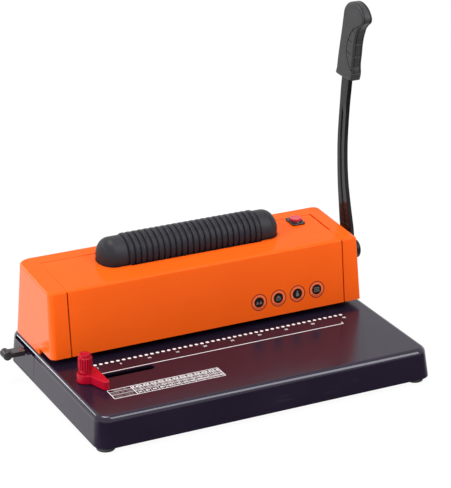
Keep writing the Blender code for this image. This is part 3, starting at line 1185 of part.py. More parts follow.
def side_guide(holder, knob_holder):
    """The red side guide that slides in the deck's slot, with its clamp knob and nut."""
    x, y = KNOB_X, SLOT_Y
    low = DECK_Z + GAP
    stop, front = x + GUIDE_STOP, y - GUIDE_FRONT
    corner = GUIDE_TIP_CORNER
    outline = [(stop, front + corner), (stop, y + GUIDE_BACK)]
    outline += arc((x, y), GUIDE_HEAD_RADIUS, 80, 250, 2 * CORNER_STEPS)
    outline.append((stop - GUIDE_WAIST_WIDTH, y - GUIDE_WAIST_FRONT))
    outline += arc((stop - GUIDE_TIP_WIDTH + corner, front + corner), corner, 180, 270, CORNER_STEPS)
    outline += arc((stop - corner, front + corner), corner, 270, 360, CORNER_STEPS)[:-1]
    body = extruded(outline, "Z", low, low + GUIDE_HEIGHT, bevel=GUIDE_EDGE)
    key = SLOT_WIDTH / 2 - GAP
    fuse(body, box((x - KEY_LENGTH / 2, y - key, DECK_Z - BASE_WALL + GAP),
                   (x + KEY_LENGTH / 2, y + key, low + GUIDE_EDGE)))
    cut(body, cylinder(STUD_RADIUS + GAP, "Z", (x, y, 0), 0, low + GUIDE_HEIGHT + OVERRUN, SMALL_STEPS))
    piece(body, "side_guide", red_plastic(), holder)

    nut_top = DECK_Z - BASE_WALL - NUT_ROOM
    nut = box((x - NUT_LENGTH / 2, y - NUT_WIDTH / 2, nut_top - NUT_THICKNESS),
              (x + NUT_LENGTH / 2, y + NUT_WIDTH / 2, nut_top))
    cut(nut, cylinder(STUD_RADIUS + GAP, "Z", (x, y, 0), 0, DECK_Z, SMALL_STEPS))
    piece(nut, "guide_nut", plated_steel(), holder)

    foot = low + GUIDE_HEIGHT + GAP
    flutes = []
    count = 4 * KNOB_FLUTES
    for i in range(count):
        radius = KNOB_RADIUS - KNOB_FLUTE_DEPTH * (i % 4 in (0, 1))
        angle = 2 * pi * i / count
        flutes.append((x + radius * cos(angle), y + radius * sin(angle)))
    knob = extruded(flutes, "Z", foot + KNOB_COLLAR_HEIGHT, foot + KNOB_COLLAR_HEIGHT + KNOB_HEIGHT)
    stem = [(0, foot + 2 * KNOB_COLLAR_HEIGHT), (KNOB_COLLAR_RADIUS, foot + 2 * KNOB_COLLAR_HEIGHT),
            (KNOB_COLLAR_RADIUS, foot), (STUD_RADIUS, foot), (STUD_RADIUS, nut_top - NUT_THICKNESS),
            (0, nut_top - NUT_THICKNESS)]
    fuse(knob, turned(stem, "Z", (x, y, 0), SMALL_STEPS + CORNER_STEPS))
    piece(knob, "guide_knob", red_plastic(), knob_holder)


def drawer(holder):
    """The waste drawer with its pull, and the two runners that guide it."""
    back = DRAWER_Y + DRAWER_WIDTH / 2
    front = DRAWER_Y - DRAWER_WIDTH / 2
    left = BASE_LEFT_X
    tray = box((left + BASE_DRAFT + DRAWER_WALL, front, DRAWER_LOW),
               (left + DRAWER_LENGTH, back, DRAWER_LOW + DRAWER_TRAY_HEIGHT))
    cut(tray, box((left + BASE_DRAFT + DRAWER_FRONT_THICKNESS, front + DRAWER_WALL, DRAWER_LOW + DRAWER_WALL),
                  (left + DRAWER_LENGTH - DRAWER_WALL, back - DRAWER_WALL,
                   DRAWER_LOW + DRAWER_TRAY_HEIGHT + OVERRUN)))
    front_plate = box((left - OVERRUN, front, DRAWER_LOW),
                      (left + BASE_DRAFT + DRAWER_FRONT_THICKNESS, back, DRAWER_LOW + DRAWER_FRONT_HEIGHT))
    combine(front_plate, base_solid(FOOT_HEIGHT), "INTERSECT")
    fuse(tray, settle(front_plate))
    peg_x = left + BASE_DRAFT + HANDLE_PEG_LENGTH
    cut(tray, cylinder(HANDLE_PEG_RADIUS + GAP, "X", (0, DRAWER_Y, HANDLE_HEIGHT), left - OVERRUN,
                       peg_x + GAP, SMALL_STEPS))
    piece(tray, "waste_drawer", black_plastic(), holder)

    bead = HANDLE_BEAD_RADIUS
    x = HANDLE_END_X + bead
    half_neck = HANDLE_NECK / 2
    open_angle = degrees(asin(half_neck / bead))
    ring = arc((HANDLE_HEIGHT, x), bead, 90 + open_angle, 450 - open_angle, SMALL_STEPS)
    root = left + BASE_DRAFT * (HANDLE_HEIGHT - half_neck - FOOT_HEIGHT) / BASE_HEIGHT
    outline = ring + [(HANDLE_HEIGHT + half_neck, root - GAP), (HANDLE_HEIGHT - half_neck, root - GAP)]
    handle = extruded(outline, "Y", DRAWER_Y - HANDLE_WIDTH / 2, DRAWER_Y + HANDLE_WIDTH / 2)
    fuse(handle, cylinder(HANDLE_PEG_RADIUS, "X", (0, DRAWER_Y, HANDLE_HEIGHT), root - half_neck,
                          peg_x, SMALL_STEPS))
    piece(handle, "drawer_pull", black_plastic(), holder)

    low = BOTTOM_TOP + GAP
    for side, y, toward in (("front", front - GAP, -1), ("rear", back + GAP, 1)):
        outline = [(y, low), (y, low + RUNNER_HEIGHT), (y + toward * RUNNER_THICKNESS, low + RUNNER_HEIGHT),
                   (y + toward * RUNNER_THICKNESS, low + RUNNER_THICKNESS),
                   (y + toward * RUNNER_FOOT, low + RUNNER_THICKNESS), (y + toward * RUNNER_FOOT, low)]
        piece(extruded(outline, "X", left + RUNNER_INSET, left + DRAWER_LENGTH),
              "drawer_runner_" + side, plated_steel())


def build():
    punch_holder = joint("punch_slide", (HOLES_X, PUNCH_Y, CARRIER_LOW))
    lever_holder = joint("lever_hinge", (LEVER_END_X, SHAFT_Y, SHAFT_Z))
    roller_holder = joint("roller_axis", (ROLLER_X, ROLLER_Y, ROLLER_Z))
    motor_holder = joint("motor_axis", (PULLEY_LEFT_X, MOTOR_Y, MOTOR_Z))
    button_holder = joint("button_slide", (SWITCH_X, SWITCH_Y, housing_top(SWITCH_Y)))
    guide_holder = joint("guide_slide", (KNOB_X, SLOT_Y, DECK_Z))
    knob_holder = joint("knob_hinge", (KNOB_X, SLOT_Y, DECK_Z))
    drawer_holder = joint("drawer_slide", (BASE_LEFT_X, DRAWER_Y, DRAWER_LOW))
    base()
    side_frames()
    punch(punch_holder)
    shaft_and_lever(lever_holder)
    housing()
    roller(roller_holder)
    drive(roller_holder, motor_holder)
    switch(button_holder)
    side_guide(guide_holder, knob_holder)
    drawer(drawer_holder)


build()
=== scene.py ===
"""Looks of the coil binding machine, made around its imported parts. Metres, +Z up."""
from math import acos, atan2, cos, pi, radians, sin

import bmesh
import bpy
from mathutils import Matrix, Vector


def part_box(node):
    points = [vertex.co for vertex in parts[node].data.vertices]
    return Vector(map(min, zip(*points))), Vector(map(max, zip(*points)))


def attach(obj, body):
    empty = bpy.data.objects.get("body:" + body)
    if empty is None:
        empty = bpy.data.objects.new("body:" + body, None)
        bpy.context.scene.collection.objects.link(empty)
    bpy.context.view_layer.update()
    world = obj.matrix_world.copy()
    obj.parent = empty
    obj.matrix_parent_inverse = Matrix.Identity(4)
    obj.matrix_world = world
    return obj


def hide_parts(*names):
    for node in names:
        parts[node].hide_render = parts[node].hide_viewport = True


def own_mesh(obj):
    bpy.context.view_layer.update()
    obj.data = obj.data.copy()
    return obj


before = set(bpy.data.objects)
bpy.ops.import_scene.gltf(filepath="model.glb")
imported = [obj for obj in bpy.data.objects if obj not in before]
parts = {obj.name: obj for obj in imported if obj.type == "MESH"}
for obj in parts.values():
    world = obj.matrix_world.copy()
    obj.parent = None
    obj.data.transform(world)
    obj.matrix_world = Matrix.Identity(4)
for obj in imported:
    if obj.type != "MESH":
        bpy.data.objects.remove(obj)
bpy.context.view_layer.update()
scene = bpy.context.scene

# Studio. The camera stands in front of the machine's left half, a little above it. A pale
# floor runs out into white, and four soft lamps light the machine from above and all round.
# In reflections alone, a strip of floor in front of the machine glows dimmer: painted shade.
VIEW_TARGET = Vector((0.06454, 0.09978, 0.09664))
VIEW_AZIMUTH, VIEW_ELEVATION = radians(-26.35), radians(21.96)
VIEW_DISTANCE, VIEW_LENS = 2.2678, 153.68
FLOOR_HALF = 6.0
FLOOR_GREY, WHITE = (0.9, 0.9, 0.9, 1), (1, 1, 1, 1)
WHITE_SHARE = 0.95
# Painted shade on the floor, seen only in reflections: a strip in front of the machine, given as its middle
# in Y, its half width, where it has faded out, and its dimmed glow.
PAINTED_SHADE_STRIP = (-0.25, 0.11, 0.17, 0.05)
AMBIENT = 0.42
LAMPS = {
    "key_softbox": ((-2.75, -0.3, 1.2), (1.6, 1.6), 78.0),
    "tall_softbox": ((1.15, -1.5, 2.1), (0.75, 3.0), 50.0),
    "rear_softbox": ((-1.05, 2.15, 0.97), (0.25, 0.6), 5.0),
    "top_softbox": ((-0.2, 0.7, 2.7), (1.2, 1.2), 42.0),
}


def shown(name, data):
    """A new object in the scene."""
    made = bpy.data.objects.new(name, data)
    scene.collection.objects.link(made)
    return made


def fed(tree, to_node, inputs):
    """Feeds a node's inputs, each with a socket or a value."""
    for socket, given in inputs.items():
        if isinstance(given, bpy.types.NodeSocket):
            tree.links.new(given, to_node.inputs[socket])
        else:
            to_node.inputs[socket].default_value = given


def new_node(tree, kind, inputs=None, **settings):
    """A new node, set and fed. Gives its outputs."""
    made = tree.nodes.new(kind)
    for setting, value in settings.items():
        setattr(made, setting, value)
    fed(tree, made, inputs or {})
    return made.outputs


def either(tree, one, other, operation="MAXIMUM"):
    """Two values in one. Each is a socket or a number."""
    return new_node(tree, "ShaderNodeMath", {0: one, 1: other}, operation=operation)[0]


def between(tree, value, low, high, out_low=0.0, out_high=1.0):
    """A value spread from one range to another, held at its ends."""
    return new_node(tree, "ShaderNodeMapRange", {
        "Value": value, "From Min": low, "From Max": high, "To Min": out_low, "To Max": out_high})["Result"]


def away_from(tree, place, axis, middle):
    """How far each point lies from a place on an axis."""
    along = new_node(tree, "ShaderNodeSeparateXYZ", {0: place})[axis]
    return either(tree, either(tree, along, middle, "SUBTRACT"), 0.0, "ABSOLUTE")


def seen_white(tree):
    """Which rays see white: those straight to the camera, and those with the shiny ones."""
    rays = new_node(tree, "ShaderNodeLightPath")
    straight = either(tree, rays["Is Camera Ray"], rays["Is Transmission Ray"])
    return straight, either(tree, straight, rays["Is Glossy Ray"])


camera_data = bpy.data.cameras.new("camera")
camera_data.sensor_fit = "VERTICAL"
camera_data.sensor_height = 36
camera_data.lens = VIEW_LENS
camera = shown("camera", camera_data)
towards_camera = Vector((sin(VIEW_AZIMUTH) * cos(VIEW_ELEVATION),
                         -cos(VIEW_AZIMUTH) * cos(VIEW_ELEVATION), sin(VIEW_ELEVATION)))
camera.location = VIEW_TARGET + towards_camera * VIEW_DISTANCE
camera.rotation_euler = towards_camera.to_track_quat("Z", "Y").to_euler()
scene.camera = camera
scene.view_settings.view_transform = "Standard"

for lamp_name, (place, size, power) in LAMPS.items():
    lamp_data = bpy.data.lights.new(lamp_name, "AREA")
    lamp_data.shape = "RECTANGLE"
    lamp_data.size, lamp_data.size_y = size
    lamp_data.energy = power
    lamp = shown(lamp_name, lamp_data)
    lamp.location = place
    lamp.rotation_euler = Vector(place).to_track_quat("Z", "Y").to_euler()
    lamp.visible_glossy = lamp_name != "key_softbox"

world = bpy.data.worlds.new("white_studio")
scene.world = world
world.use_nodes = True
sky = world.node_tree
soft_light = sky.nodes["Background"]
fed(sky, soft_light, {"Color": WHITE, "Strength": AMBIENT})
white_wall = new_node(sky, "ShaderNodeBackground", {"Color": WHITE})
either_sky = new_node(sky, "ShaderNodeMixShader", {0: seen_white(sky)[1], 1: soft_light.outputs[0],
                                                   2: white_wall[0]})
fed(sky, sky.nodes["World Output"], {"Surface": either_sky[0]})

floor_finish = bpy.data.materials.new("pale_floor")
floor_finish.use_nodes = True
tree = floor_finish.node_tree
tree.nodes.remove(tree.nodes["Principled BSDF"])
# Rays from shiny surfaces see the floor's glow dimmed in this strip: painted shade in what the base and the
# housing mirror.
strip_middle, strip_half, strip_end, shade_strip_glow = PAINTED_SHADE_STRIP
from_strip = away_from(tree, new_node(tree, "ShaderNodeTexCoord")["Object"], "Y", strip_middle)
reflected_floor_glow = between(tree, from_strip, strip_half, strip_end, shade_strip_glow, 1.0)
seen_straight, seen_at_all = seen_white(tree)
matt_floor = new_node(tree, "ShaderNodeBsdfDiffuse", {"Color": FLOOR_GREY})
white_floor = new_node(tree, "ShaderNodeEmission", {"Strength": either(tree, seen_straight, reflected_floor_glow)})
either_floor = new_node(tree, "ShaderNodeMixShader", {
    0: either(tree, seen_at_all, WHITE_SHARE, "MULTIPLY"), 1: matt_floor[0], 2: white_floor[0]})
fed(tree, tree.nodes["Material Output"], {"Surface": either_floor[0]})
floor_mesh = bpy.data.meshes.new("floor")
floor_mesh.from_pydata([(x * FLOOR_HALF, y * FLOOR_HALF, 0) for x, y in ((-1, -1), (1, -1), (1, 1), (-1, 1))],
                       [], [(0, 1, 2, 3)])
floor_mesh.materials.append(floor_finish)
floor = shown("floor", floor_mesh)

# Base. One injection moulding in gloss black plastic, open underneath, with leaning walls and a
# broad rounded rim. Its deck has a finer satin than its walls. The die, the guide's slot, the
# drawer and the power inlet each have their own opening.
BASE_WALL, BASE_RIM, BASE_LOWER_EDGE = 0.0028, 0.0056, 0.0005
BASE_ENDS = (-0.1830, 0.1948)
BASE_DRAFTS = (0.0020, 0.0046, 0.0016, 0.0030)
BASE_CORNERS = (0.0140, 0.0140, 0.0200, 0.0200)
MOUTH_TOP = 0.0360
SLOT_LEFT, SLOT_RIGHT, SLOT_Y, SLOT_WIDTH = -0.1663, -0.0831, -0.0352, 0.0096
OVER, GAP = 0.002, 0.0003
WELD, FINEST_CORNER = 0.000005, 0.0003
AXIS_TURNS = {"X": Matrix(((0, 0, 1), (1, 0, 0), (0, 1, 0))).to_4x4(),
              "Y": Matrix(((0, 1, 0), (0, 0, 1), (1, 0, 0))).to_4x4(),
              "Z": Matrix.Identity(4)}


def placed(name, mesh, matrix=Matrix.Identity(4)):
    """A new object whose place is in its mesh."""
    mesh.transform(matrix)
    return shown(name, mesh)


def made_of(work, name):
    """A shape that was put together point by point, as an object."""
    mesh = bpy.data.meshes.new(name)
    work.to_mesh(mesh)
    work.free()
    return placed(name, mesh)


def outward(mesh):
    """Welds a mesh and turns its faces outwards."""
    work = bmesh.new()
    work.from_mesh(mesh)
    bmesh.ops.remove_doubles(work, verts=work.verts, dist=WELD)
    bmesh.ops.recalc_face_normals(work, faces=work.faces)
    work.to_mesh(mesh)
    work.free()


def settled(obj, weld=True):
    """The plain mesh that an object's curve or modifiers give, at the origin."""
    bpy.context.view_layer.update()
    shape = obj.evaluated_get(bpy.context.evaluated_depsgraph_get())
    mesh = bpy.data.meshes.new_from_object(shape)
    matrix, name = obj.matrix_world.copy(), obj.name
    bpy.data.objects.remove(obj)
    if weld:
        outward(mesh)
    return placed(name, mesh, matrix)


def carved(obj, *tools, operation="DIFFERENCE"):
    """The object with other shapes cut out of it for good, or added to it."""
    for tool in tools:
        change = obj.modifiers.new("carve", "BOOLEAN")
        change.operation = operation
        change.object = tool
    obj = settled(obj)
    for tool in tools:
        bpy.data.objects.remove(tool)
    return obj


def drawn_out(outline, axis, low, high, holes=(), rounding=0.0, steps=3):
    """A flat outline drawn out along an axis, its edges rounded over on request. The
    outline's coordinates are (y, z) for X, (z, x) for Y and (x, y) for Z."""
    data = bpy.data.curves.new("outline", "CURVE")
    data.dimensions = "2D"
    data.fill_mode = "BOTH"
    data.extrude = (high - low) / 2 - rounding
    data.bevel_depth = rounding
    data.bevel_resolution = steps
    data.offset = -rounding
    for loop in (outline, *holes):
        spline = data.splines.new("POLY")
        spline.points.add(len(loop) - 1)
        for point, (u, v) in zip(spline.points, loop):
            point.co = (u, v, 0, 1)
        spline.use_cyclic_u = True
    obj = shown("outline", data)
    middle = AXIS_TURNS[axis] @ Vector((0, 0, (low + high) / 2))
    obj.matrix_world = Matrix.Translation(middle) @ AXIS_TURNS[axis]
    return settled(obj)


def rectangle(x0, x1, y0, y1):
    return [(x0, y0), (x1, y0), (x1, y1), (x0, y1)]


def block(low, high):
    """A plain block between two corners, for cutting."""
    (x0, y0, z0), (x1, y1, z1) = low, high
    return drawn_out(rectangle(x0, x1, y0, y1), "Z", z0, z1)


def turned(profile, axis, centre, steps=64, closed=True):
    """A turned shape. The profile is (radius, place along the axis), and it is closed on
    itself where it doesn't start and end on the axis, unless it is to stay open."""
    work = bmesh.new()
    points = [work.verts.new((radius, 0, height)) for radius, height in profile]
    for one, other in zip(points, points[1:]):
        work.edges.new((one, other))
    if closed and min(radius for radius, height in profile) > 0:
        work.edges.new((points[-1], points[0]))
    bmesh.ops.spin(work, geom=list(work.verts) + list(work.edges), axis=(0, 0, 1), cent=(0, 0, 0),
                   angle=2 * pi, steps=steps, use_merge=True)
    obj = made_of(work, "turned")
    outward(obj.data)
    obj.data.transform(Matrix.Translation(Vector(centre)) @ AXIS_TURNS[axis])
    return obj


def arc(centre, radius, start, end, steps):
    """Points of a round stretch of an outline, angles in degrees."""
    turns = [radians(start + (end - start) * i / steps) for i in range(steps + 1)]
    return [(centre[0] + radius * cos(t), centre[1] + radius * sin(t)) for t in turns]


def circle(radius, x=0.0, y=0.0, steps=48):
    return arc((x, y), radius, 0, 360 - 360 / steps, steps - 1)


def lofted(name, rings):
    """A closed skin over rings of points, with a flat face at either end."""
    work = bmesh.new()
    rings = [[work.verts.new(point) for point in ring] for ring in rings]
    for lower, upper in zip(rings, rings[1:]):
        for i in range(len(lower)):
            j = (i + 1) % len(lower)
            work.faces.new((lower[i], lower[j], upper[j], upper[i]))
    work.faces.new(rings[0][::-1])
    work.faces.new(rings[-1])
    bmesh.ops.recalc_face_normals(work, faces=work.faces)
    return made_of(work, name)


def rounded_plan(x0, x1, y0, y1, corners, steps=12):
    """A rounded rectangle as (x, y, outward normal, share of rear), from the front left. The
    corner radii run front left, front right, rear right, rear left."""
    points = []
    sides = ((x0, y0, 0, 0), (x1, y0, 0, 0), (x1, y1, 0, 1), (x0, y1, 1, 0))
    for index, (radius, (side_x, side_y, first, last)) in enumerate(zip(corners, sides)):
        centre_x = side_x + (radius if side_x == x0 else -radius)
        centre_y = side_y + (radius if side_y == y0 else -radius)
        for i in range(steps + 1):
            share = i / steps
            turn = radians(180 + 90 * (index + share))
            normal = (cos(turn), sin(turn))
            rear = first + (last - first) * (3 * share ** 2 - 2 * share ** 3)
            points.append((centre_x + radius * normal[0], centre_y + radius * normal[1], normal, rear))
    return points


def tub(foot, head, low, corners, edge, rear_edge, grow=0.0, steps=6):
    """A closed moulding with leaning sides, rounded corners and a rounded, sloping top.
    foot is (x0, x1, y0, y1, z), head is (x0, x1, y0, y1, front z, back z), low is where the
    sides start and grow moves every wall outwards."""
    fx0, fx1, fy0, fy1, foot_z = foot
    hx0, hx1, hy0, hy1, front_z, back_z = head
    corners = [max(radius + grow, FINEST_CORNER) for radius in corners]
    foot_plan = rounded_plan(fx0 - grow, fx1 + grow, fy0 - grow, fy1 + grow, corners)
    head_plan = rounded_plan(hx0 - grow, hx1 + grow, hy0 - grow, hy1 + grow, corners)

    def top(y):
        return front_z + (y - hy0) / (hy1 - hy0) * (back_z - front_z) + grow

    rings = []
    for turn in [None] + [i / steps * pi / 2 for i in range(steps + 1)]:
        ring = []
        for (fx, fy, normal, rear), (hx, hy, _, _) in zip(foot_plan, head_plan):
            z, inset, settling = low, 0.0, 0.0
            if turn is not None:
                radius = max(edge + rear * (rear_edge - edge) + grow, FINEST_CORNER)
                inset = radius * (1 - cos(turn))
                z = top(hy) - radius * (1 - sin(turn))
            share = (z - foot_z) / (top(hy) - foot_z)
            x = fx + (hx - fx) * share - normal[0] * inset
            y = fy + (hy - fy) * share - normal[1] * inset
            if turn is not None:
                settling = top(y) - top(hy)
            ring.append((x, y, z + settling))
        rings.append(ring)
    return lofted("tub", rings)


def new_tree(name, kind, inputs, outputs):
    """A node tree with its sockets, each given its type or a number. Gives the tree, the
    sockets of its inputs and the node of its outputs."""
    tree = bpy.data.node_groups.new(name, kind + "NodeTree")
    for way, sockets in (("INPUT", inputs), ("OUTPUT", outputs)):
        for socket, given in sockets.items():
            socket_type = given if isinstance(given, str) else "Float"
            made = tree.interface.new_socket(socket, in_out=way, socket_type="NodeSocket" + socket_type)
            if given != socket_type:
                made.default_value = given
    return tree, tree.nodes.new("NodeGroupInput").outputs, tree.nodes.new("NodeGroupOutput")


def noise(tree, vector, scale, detail, roughness=0.5, stretch=None):
    """A noise value over the surface, its pattern stretched on request."""
    if stretch:
        vector = new_node(tree, "ShaderNodeMapping", {"Vector": vector, "Scale": stretch})["Vector"]
    return new_node(tree, "ShaderNodeTexNoise", {
        "Vector": vector, "Scale": scale, "Detail": detail, "Roughness": roughness})["Fac"]


# The mould's skin: a fine grain that lifts the surface, and slow clouding of its colour.
moulded_skin, given, skin_out = new_tree("moulded_skin", "Shader", {"Vector": "Vector", "Grain": 900.0,
                                                                   "Cloud": 14.0},
                                         {"Height": "Float", "Clouding": "Float"})
cloud = noise(moulded_skin, given["Vector"], given["Cloud"], 3.0, 0.6)
fed(moulded_skin, skin_out, {"Height": noise(moulded_skin, given["Vector"], given["Grain"], 2.0),
                             "Clouding": between(moulded_skin, cloud, 0.3, 0.7)})

# What hands leave: broad dull smears, and hairline scratches that run two ways.
handling, given, marks_out = new_tree("handling", "Shader", {"Vector": "Vector", "Smear": 22.0},
                                      {"Smears": "Float", "Scratches": "Float"})
smears = noise(handling, given["Vector"], given["Smear"], 4.0, 0.62)
scratches = [between(handling, noise(handling, given["Vector"], 1.0, 1.0, 0.4, stretch), 0.72, 0.78)
             for stretch in ((26.0, 700.0, 260.0), (540.0, 18.0, 300.0))]
fed(handling, marks_out, {"Smears": between(handling, smears, 0.45, 0.68),
                          "Scratches": either(handling, *scratches)})

# The places of the colour sockets on a mix node.
MIX_FIRST, MIX_SECOND, MIX_RESULT = 6, 7, 2


def blended(tree, mask, first, second):
    """One colour over another where a mask says. Each is a colour or a socket."""
    first, second = ((*colour, 1) if isinstance(colour, tuple) else colour for colour in (first, second))
    return new_node(tree, "ShaderNodeMix", {0: mask, MIX_FIRST: first, MIX_SECOND: second},
                    data_type="RGBA")[MIX_RESULT]


def new_finish(name, roughness, metallic=0.0, specular=0.5, tint=(1, 1, 1)):
    """A material with its tree, its shader, and the coordinates its patterns follow."""
    made = bpy.data.materials.new(name)
    made.use_nodes = True
    tree = made.node_tree
    shader = tree.nodes["Principled BSDF"]
    fed(tree, shader, {"Roughness": roughness, "Metallic": metallic, "Specular IOR Level": specular,
                       "Specular Tint": (*tint, 1)})
    return made, tree, shader, new_node(tree, "ShaderNodeTexCoord")["Object"]


def raised(tree, shader, height, distance):
    """Lifts a material's surface by a height pattern."""
    bump = new_node(tree, "ShaderNodeBump", {"Distance": distance, "Height": height})
    fed(tree, shader, {"Normal": bump["Normal"]})


def plastic(name, colour, cloud_colour, scuff_colour, roughness, dull, grain=900.0, lift=0.00001,
            specular=0.5, smear=22.0, scuffs=0.35, tint=(1, 1, 1), satin_above=None, polished=None):
    """A moulded plastic: clouded colour, hairline scuffs, hand smears and a fine grain. Above
    a height it can have a satin, given as (height, added roughness). A stretch can be
    polished, given as (axis, middle, half its width, coat)."""
    made, tree, shader, place = new_finish(name, roughness, specular=specular, tint=tint)
    skin = new_node(tree, "ShaderNodeGroup", {"Vector": place, "Grain": grain}, node_tree=moulded_skin)
    marks = new_node(tree, "ShaderNodeGroup", {"Vector": place, "Smear": smear}, node_tree=handling)
    body = blended(tree, skin["Clouding"], colour, cloud_colour)
    faint = between(tree, marks["Scratches"], 0.0, 1.0, 0.0, scuffs)
    rough = between(tree, marks["Smears"], 0.0, 1.0, roughness, dull)
    if satin_above:
        height, added = satin_above
        up = new_node(tree, "ShaderNodeSeparateXYZ", {0: place})["Z"]
        rough = either(tree, rough, between(tree, up, height - 0.0003, height - 0.0001, 0.0, added), "ADD")
    if polished:
        axis, middle, half, coat = polished
        away = away_from(tree, place, axis, middle)
        fed(tree, shader, {"Coat Weight": between(tree, away, half * 0.8, half, coat, 0.0),
                           "Coat Roughness": roughness})
    fed(tree, shader, {"Base Color": blended(tree, faint, body, scuff_colour), "Roughness": rough})
    raised(tree, shader, skin["Height"], lift)
    return made


def dressed(obj, name, body, finish, slot, *stands_for, soften=0.0, crease=35.0):
    """Finishes a piece: its small edges rounded on request, its flat faces shaded flat, its
    material set, and the piece carried by its body. The slot it is given is not used."""
    if soften:
        edge = obj.modifiers.new("soften", "BEVEL")
        edge.width = soften
        edge.segments = 2
        edge.limit_method = "ANGLE"
        edge.angle_limit = radians(crease)
    obj.data.materials.clear()
    obj.data.materials.append(finish)
    obj.data.shade_smooth()
    obj.data.set_sharp_from_angle(angle=radians(crease))
    shading = obj.modifiers.new("flat_faces", "WEIGHTED_NORMAL")
    shading.keep_sharp = True
    obj = settled(obj, weld=False)
    obj.name = obj.data.name = name
    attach(obj, body)
    if stands_for:
        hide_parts(*stands_for)
    return obj


def capsule(left, right, middle, half, steps=12):
    """A slot's outline along X, with round ends."""
    return (arc((right - half, middle), half, -90, 90, steps)
            + arc((left + half, middle), half, 90, 270, steps))


base_low, base_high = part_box("base_shell")
deck_z = base_high.z
base_black = plastic("gloss_black_moulding", (0.010, 0.006, 0.015), (0.013, 0.008, 0.019),
                     (0.05, 0.05, 0.055), 0.10, 0.16, specular=0.28, scuffs=0.12, tint=(0.84, 0.84, 1.0),
                     satin_above=(deck_z, 0.10), polished=("Z", deck_z - 0.0032, 0.0031, 0.38))
base_left, base_right = BASE_ENDS
draft_left, draft_right, draft_front, draft_rear = BASE_DRAFTS


def base_form(low, grow=0.0):
    return tub((base_left, base_right, base_low.y, base_high.y, base_low.z),
               (base_left + draft_left, base_right - draft_right, base_low.y + draft_front,
                base_high.y - draft_rear, deck_z, deck_z), low, BASE_CORNERS, BASE_RIM, BASE_RIM, grow)


die_low, die_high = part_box("die_plate")
drawer_low, drawer_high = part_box("waste_drawer")
inlet_low, inlet_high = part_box("power_inlet")
base = carved(
    base_form(base_low.z), base_form(base_low.z - OVER, -BASE_WALL),
    block((die_low.x - GAP, die_low.y - GAP, die_low.z), (die_high.x + GAP, die_high.y + GAP, deck_z + OVER)),
    drawn_out(capsule(SLOT_LEFT, SLOT_RIGHT, SLOT_Y, SLOT_WIDTH / 2), "Z", deck_z - BASE_WALL - OVER,
              deck_z + OVER),
    block((base_left - OVER, drawer_low.y - GAP, drawer_low.z - GAP),
          (base_left + 2 * BASE_WALL + OVER, drawer_high.y + GAP, MOUTH_TOP)),
    block((inlet_low.x - GAP, base_high.y - 3 * BASE_WALL - OVER, inlet_low.z - GAP),
          (inlet_high.x + GAP, base_high.y + OVER, inlet_high.z + GAP)))
dressed(base, "base_moulding", "machine", base_black, "black_plastic", "base_shell",
        soften=BASE_LOWER_EDGE, crease=40.0)

# Feet. Four turned rubber feet with a hollow ring in the sole, pressed into the bottom plate
# by their spigots. The plate is sheet steel, screwed up into the base. Its zinc is darkened to
# near black as painted shade, so that the base's inside looks shaded through its openings.
FOOT_RADIUS, FOOT_EDGE = 0.0095, 0.0012
SOLE_INNER, SOLE_OUTER, SOLE_DEPTH = 0.0030, 0.0055, 0.0008
SPIGOT_RADIUS, SPIGOT_TOP = 0.0030, 0.0068


def middle_of(node):
    """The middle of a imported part's box."""
    low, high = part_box(node)
    return (low + high) / 2


def ended(tree, end, shape, finish):
    """Ends a tree: its copies made real and their finish set."""
    real = new_node(tree, "GeometryNodeRealizeInstances", {"Geometry": shape})[0]
    fed(tree, end, {"Geometry": new_node(tree, "GeometryNodeSetMaterial", {
        "Geometry": real, "Material": finish})[0]})


def grown(name, tree, points=(), weld=False, **sizes):
    """The plain mesh that a node tree makes from points and from its named inputs."""
    mesh = bpy.data.meshes.new(name)
    mesh.from_pydata(points, [], [])
    holder = placed(name, mesh)
    growth = holder.modifiers.new(name, "NODES")
    growth.node_group = tree
    for socket in tree.interface.items_tree:
        if socket.name in sizes:
            growth[socket.identifier] = sizes[socket.name]
    return settled(holder, weld=weld)


def at_each(name, places, shape, finish):
    """The same shape set at each place. A node tree puts one copy on every point."""
    tree, given, end = new_tree(name, "Geometry", {"Geometry": "Geometry", "Shape": "Object", "Size": 1.0},
                                {"Geometry": "Geometry"})
    pattern = new_node(tree, "GeometryNodeObjectInfo", {"Object": given["Shape"]})
    copies = new_node(tree, "GeometryNodeInstanceOnPoints", {
        "Points": given["Geometry"], "Instance": pattern["Geometry"], "Scale": given["Size"]})
    ended(tree, end, copies[0], finish)
    made = grown(name, tree, places, Shape=shape, Size=1.0)
    bpy.data.objects.remove(shape)
    return made


foot_rubber = plastic("foot_rubber", (0.030, 0.030, 0.032), (0.040, 0.040, 0.042), (0.10, 0.10, 0.10),
                      0.62, 0.75, grain=1500.0, lift=0.00004)
foot_names = [f"foot_{end}_{side}" for end in ("front", "rear") for side in ("left", "right")]
foot_places = [(middle_of(name).x, middle_of(name).y, 0.0) for name in foot_names]
foot = turned([(0, SPIGOT_TOP), (SPIGOT_RADIUS, SPIGOT_TOP), (SPIGOT_RADIUS, base_low.z),
               (FOOT_RADIUS, base_low.z)] + arc((FOOT_RADIUS - FOOT_EDGE, FOOT_EDGE), FOOT_EDGE, 0, -90, 5)
              + [(SOLE_OUTER, 0), (SOLE_OUTER, SOLE_DEPTH), (SOLE_INNER, SOLE_DEPTH), (SOLE_INNER, 0),
                 (0, 0)], "Z", (0, 0, 0), 40)
feet = at_each("rubber_feet", foot_places, foot, foot_rubber)
dressed(feet, "rubber_feet", "machine", foot_rubber, "dark_rubber", *foot_names)

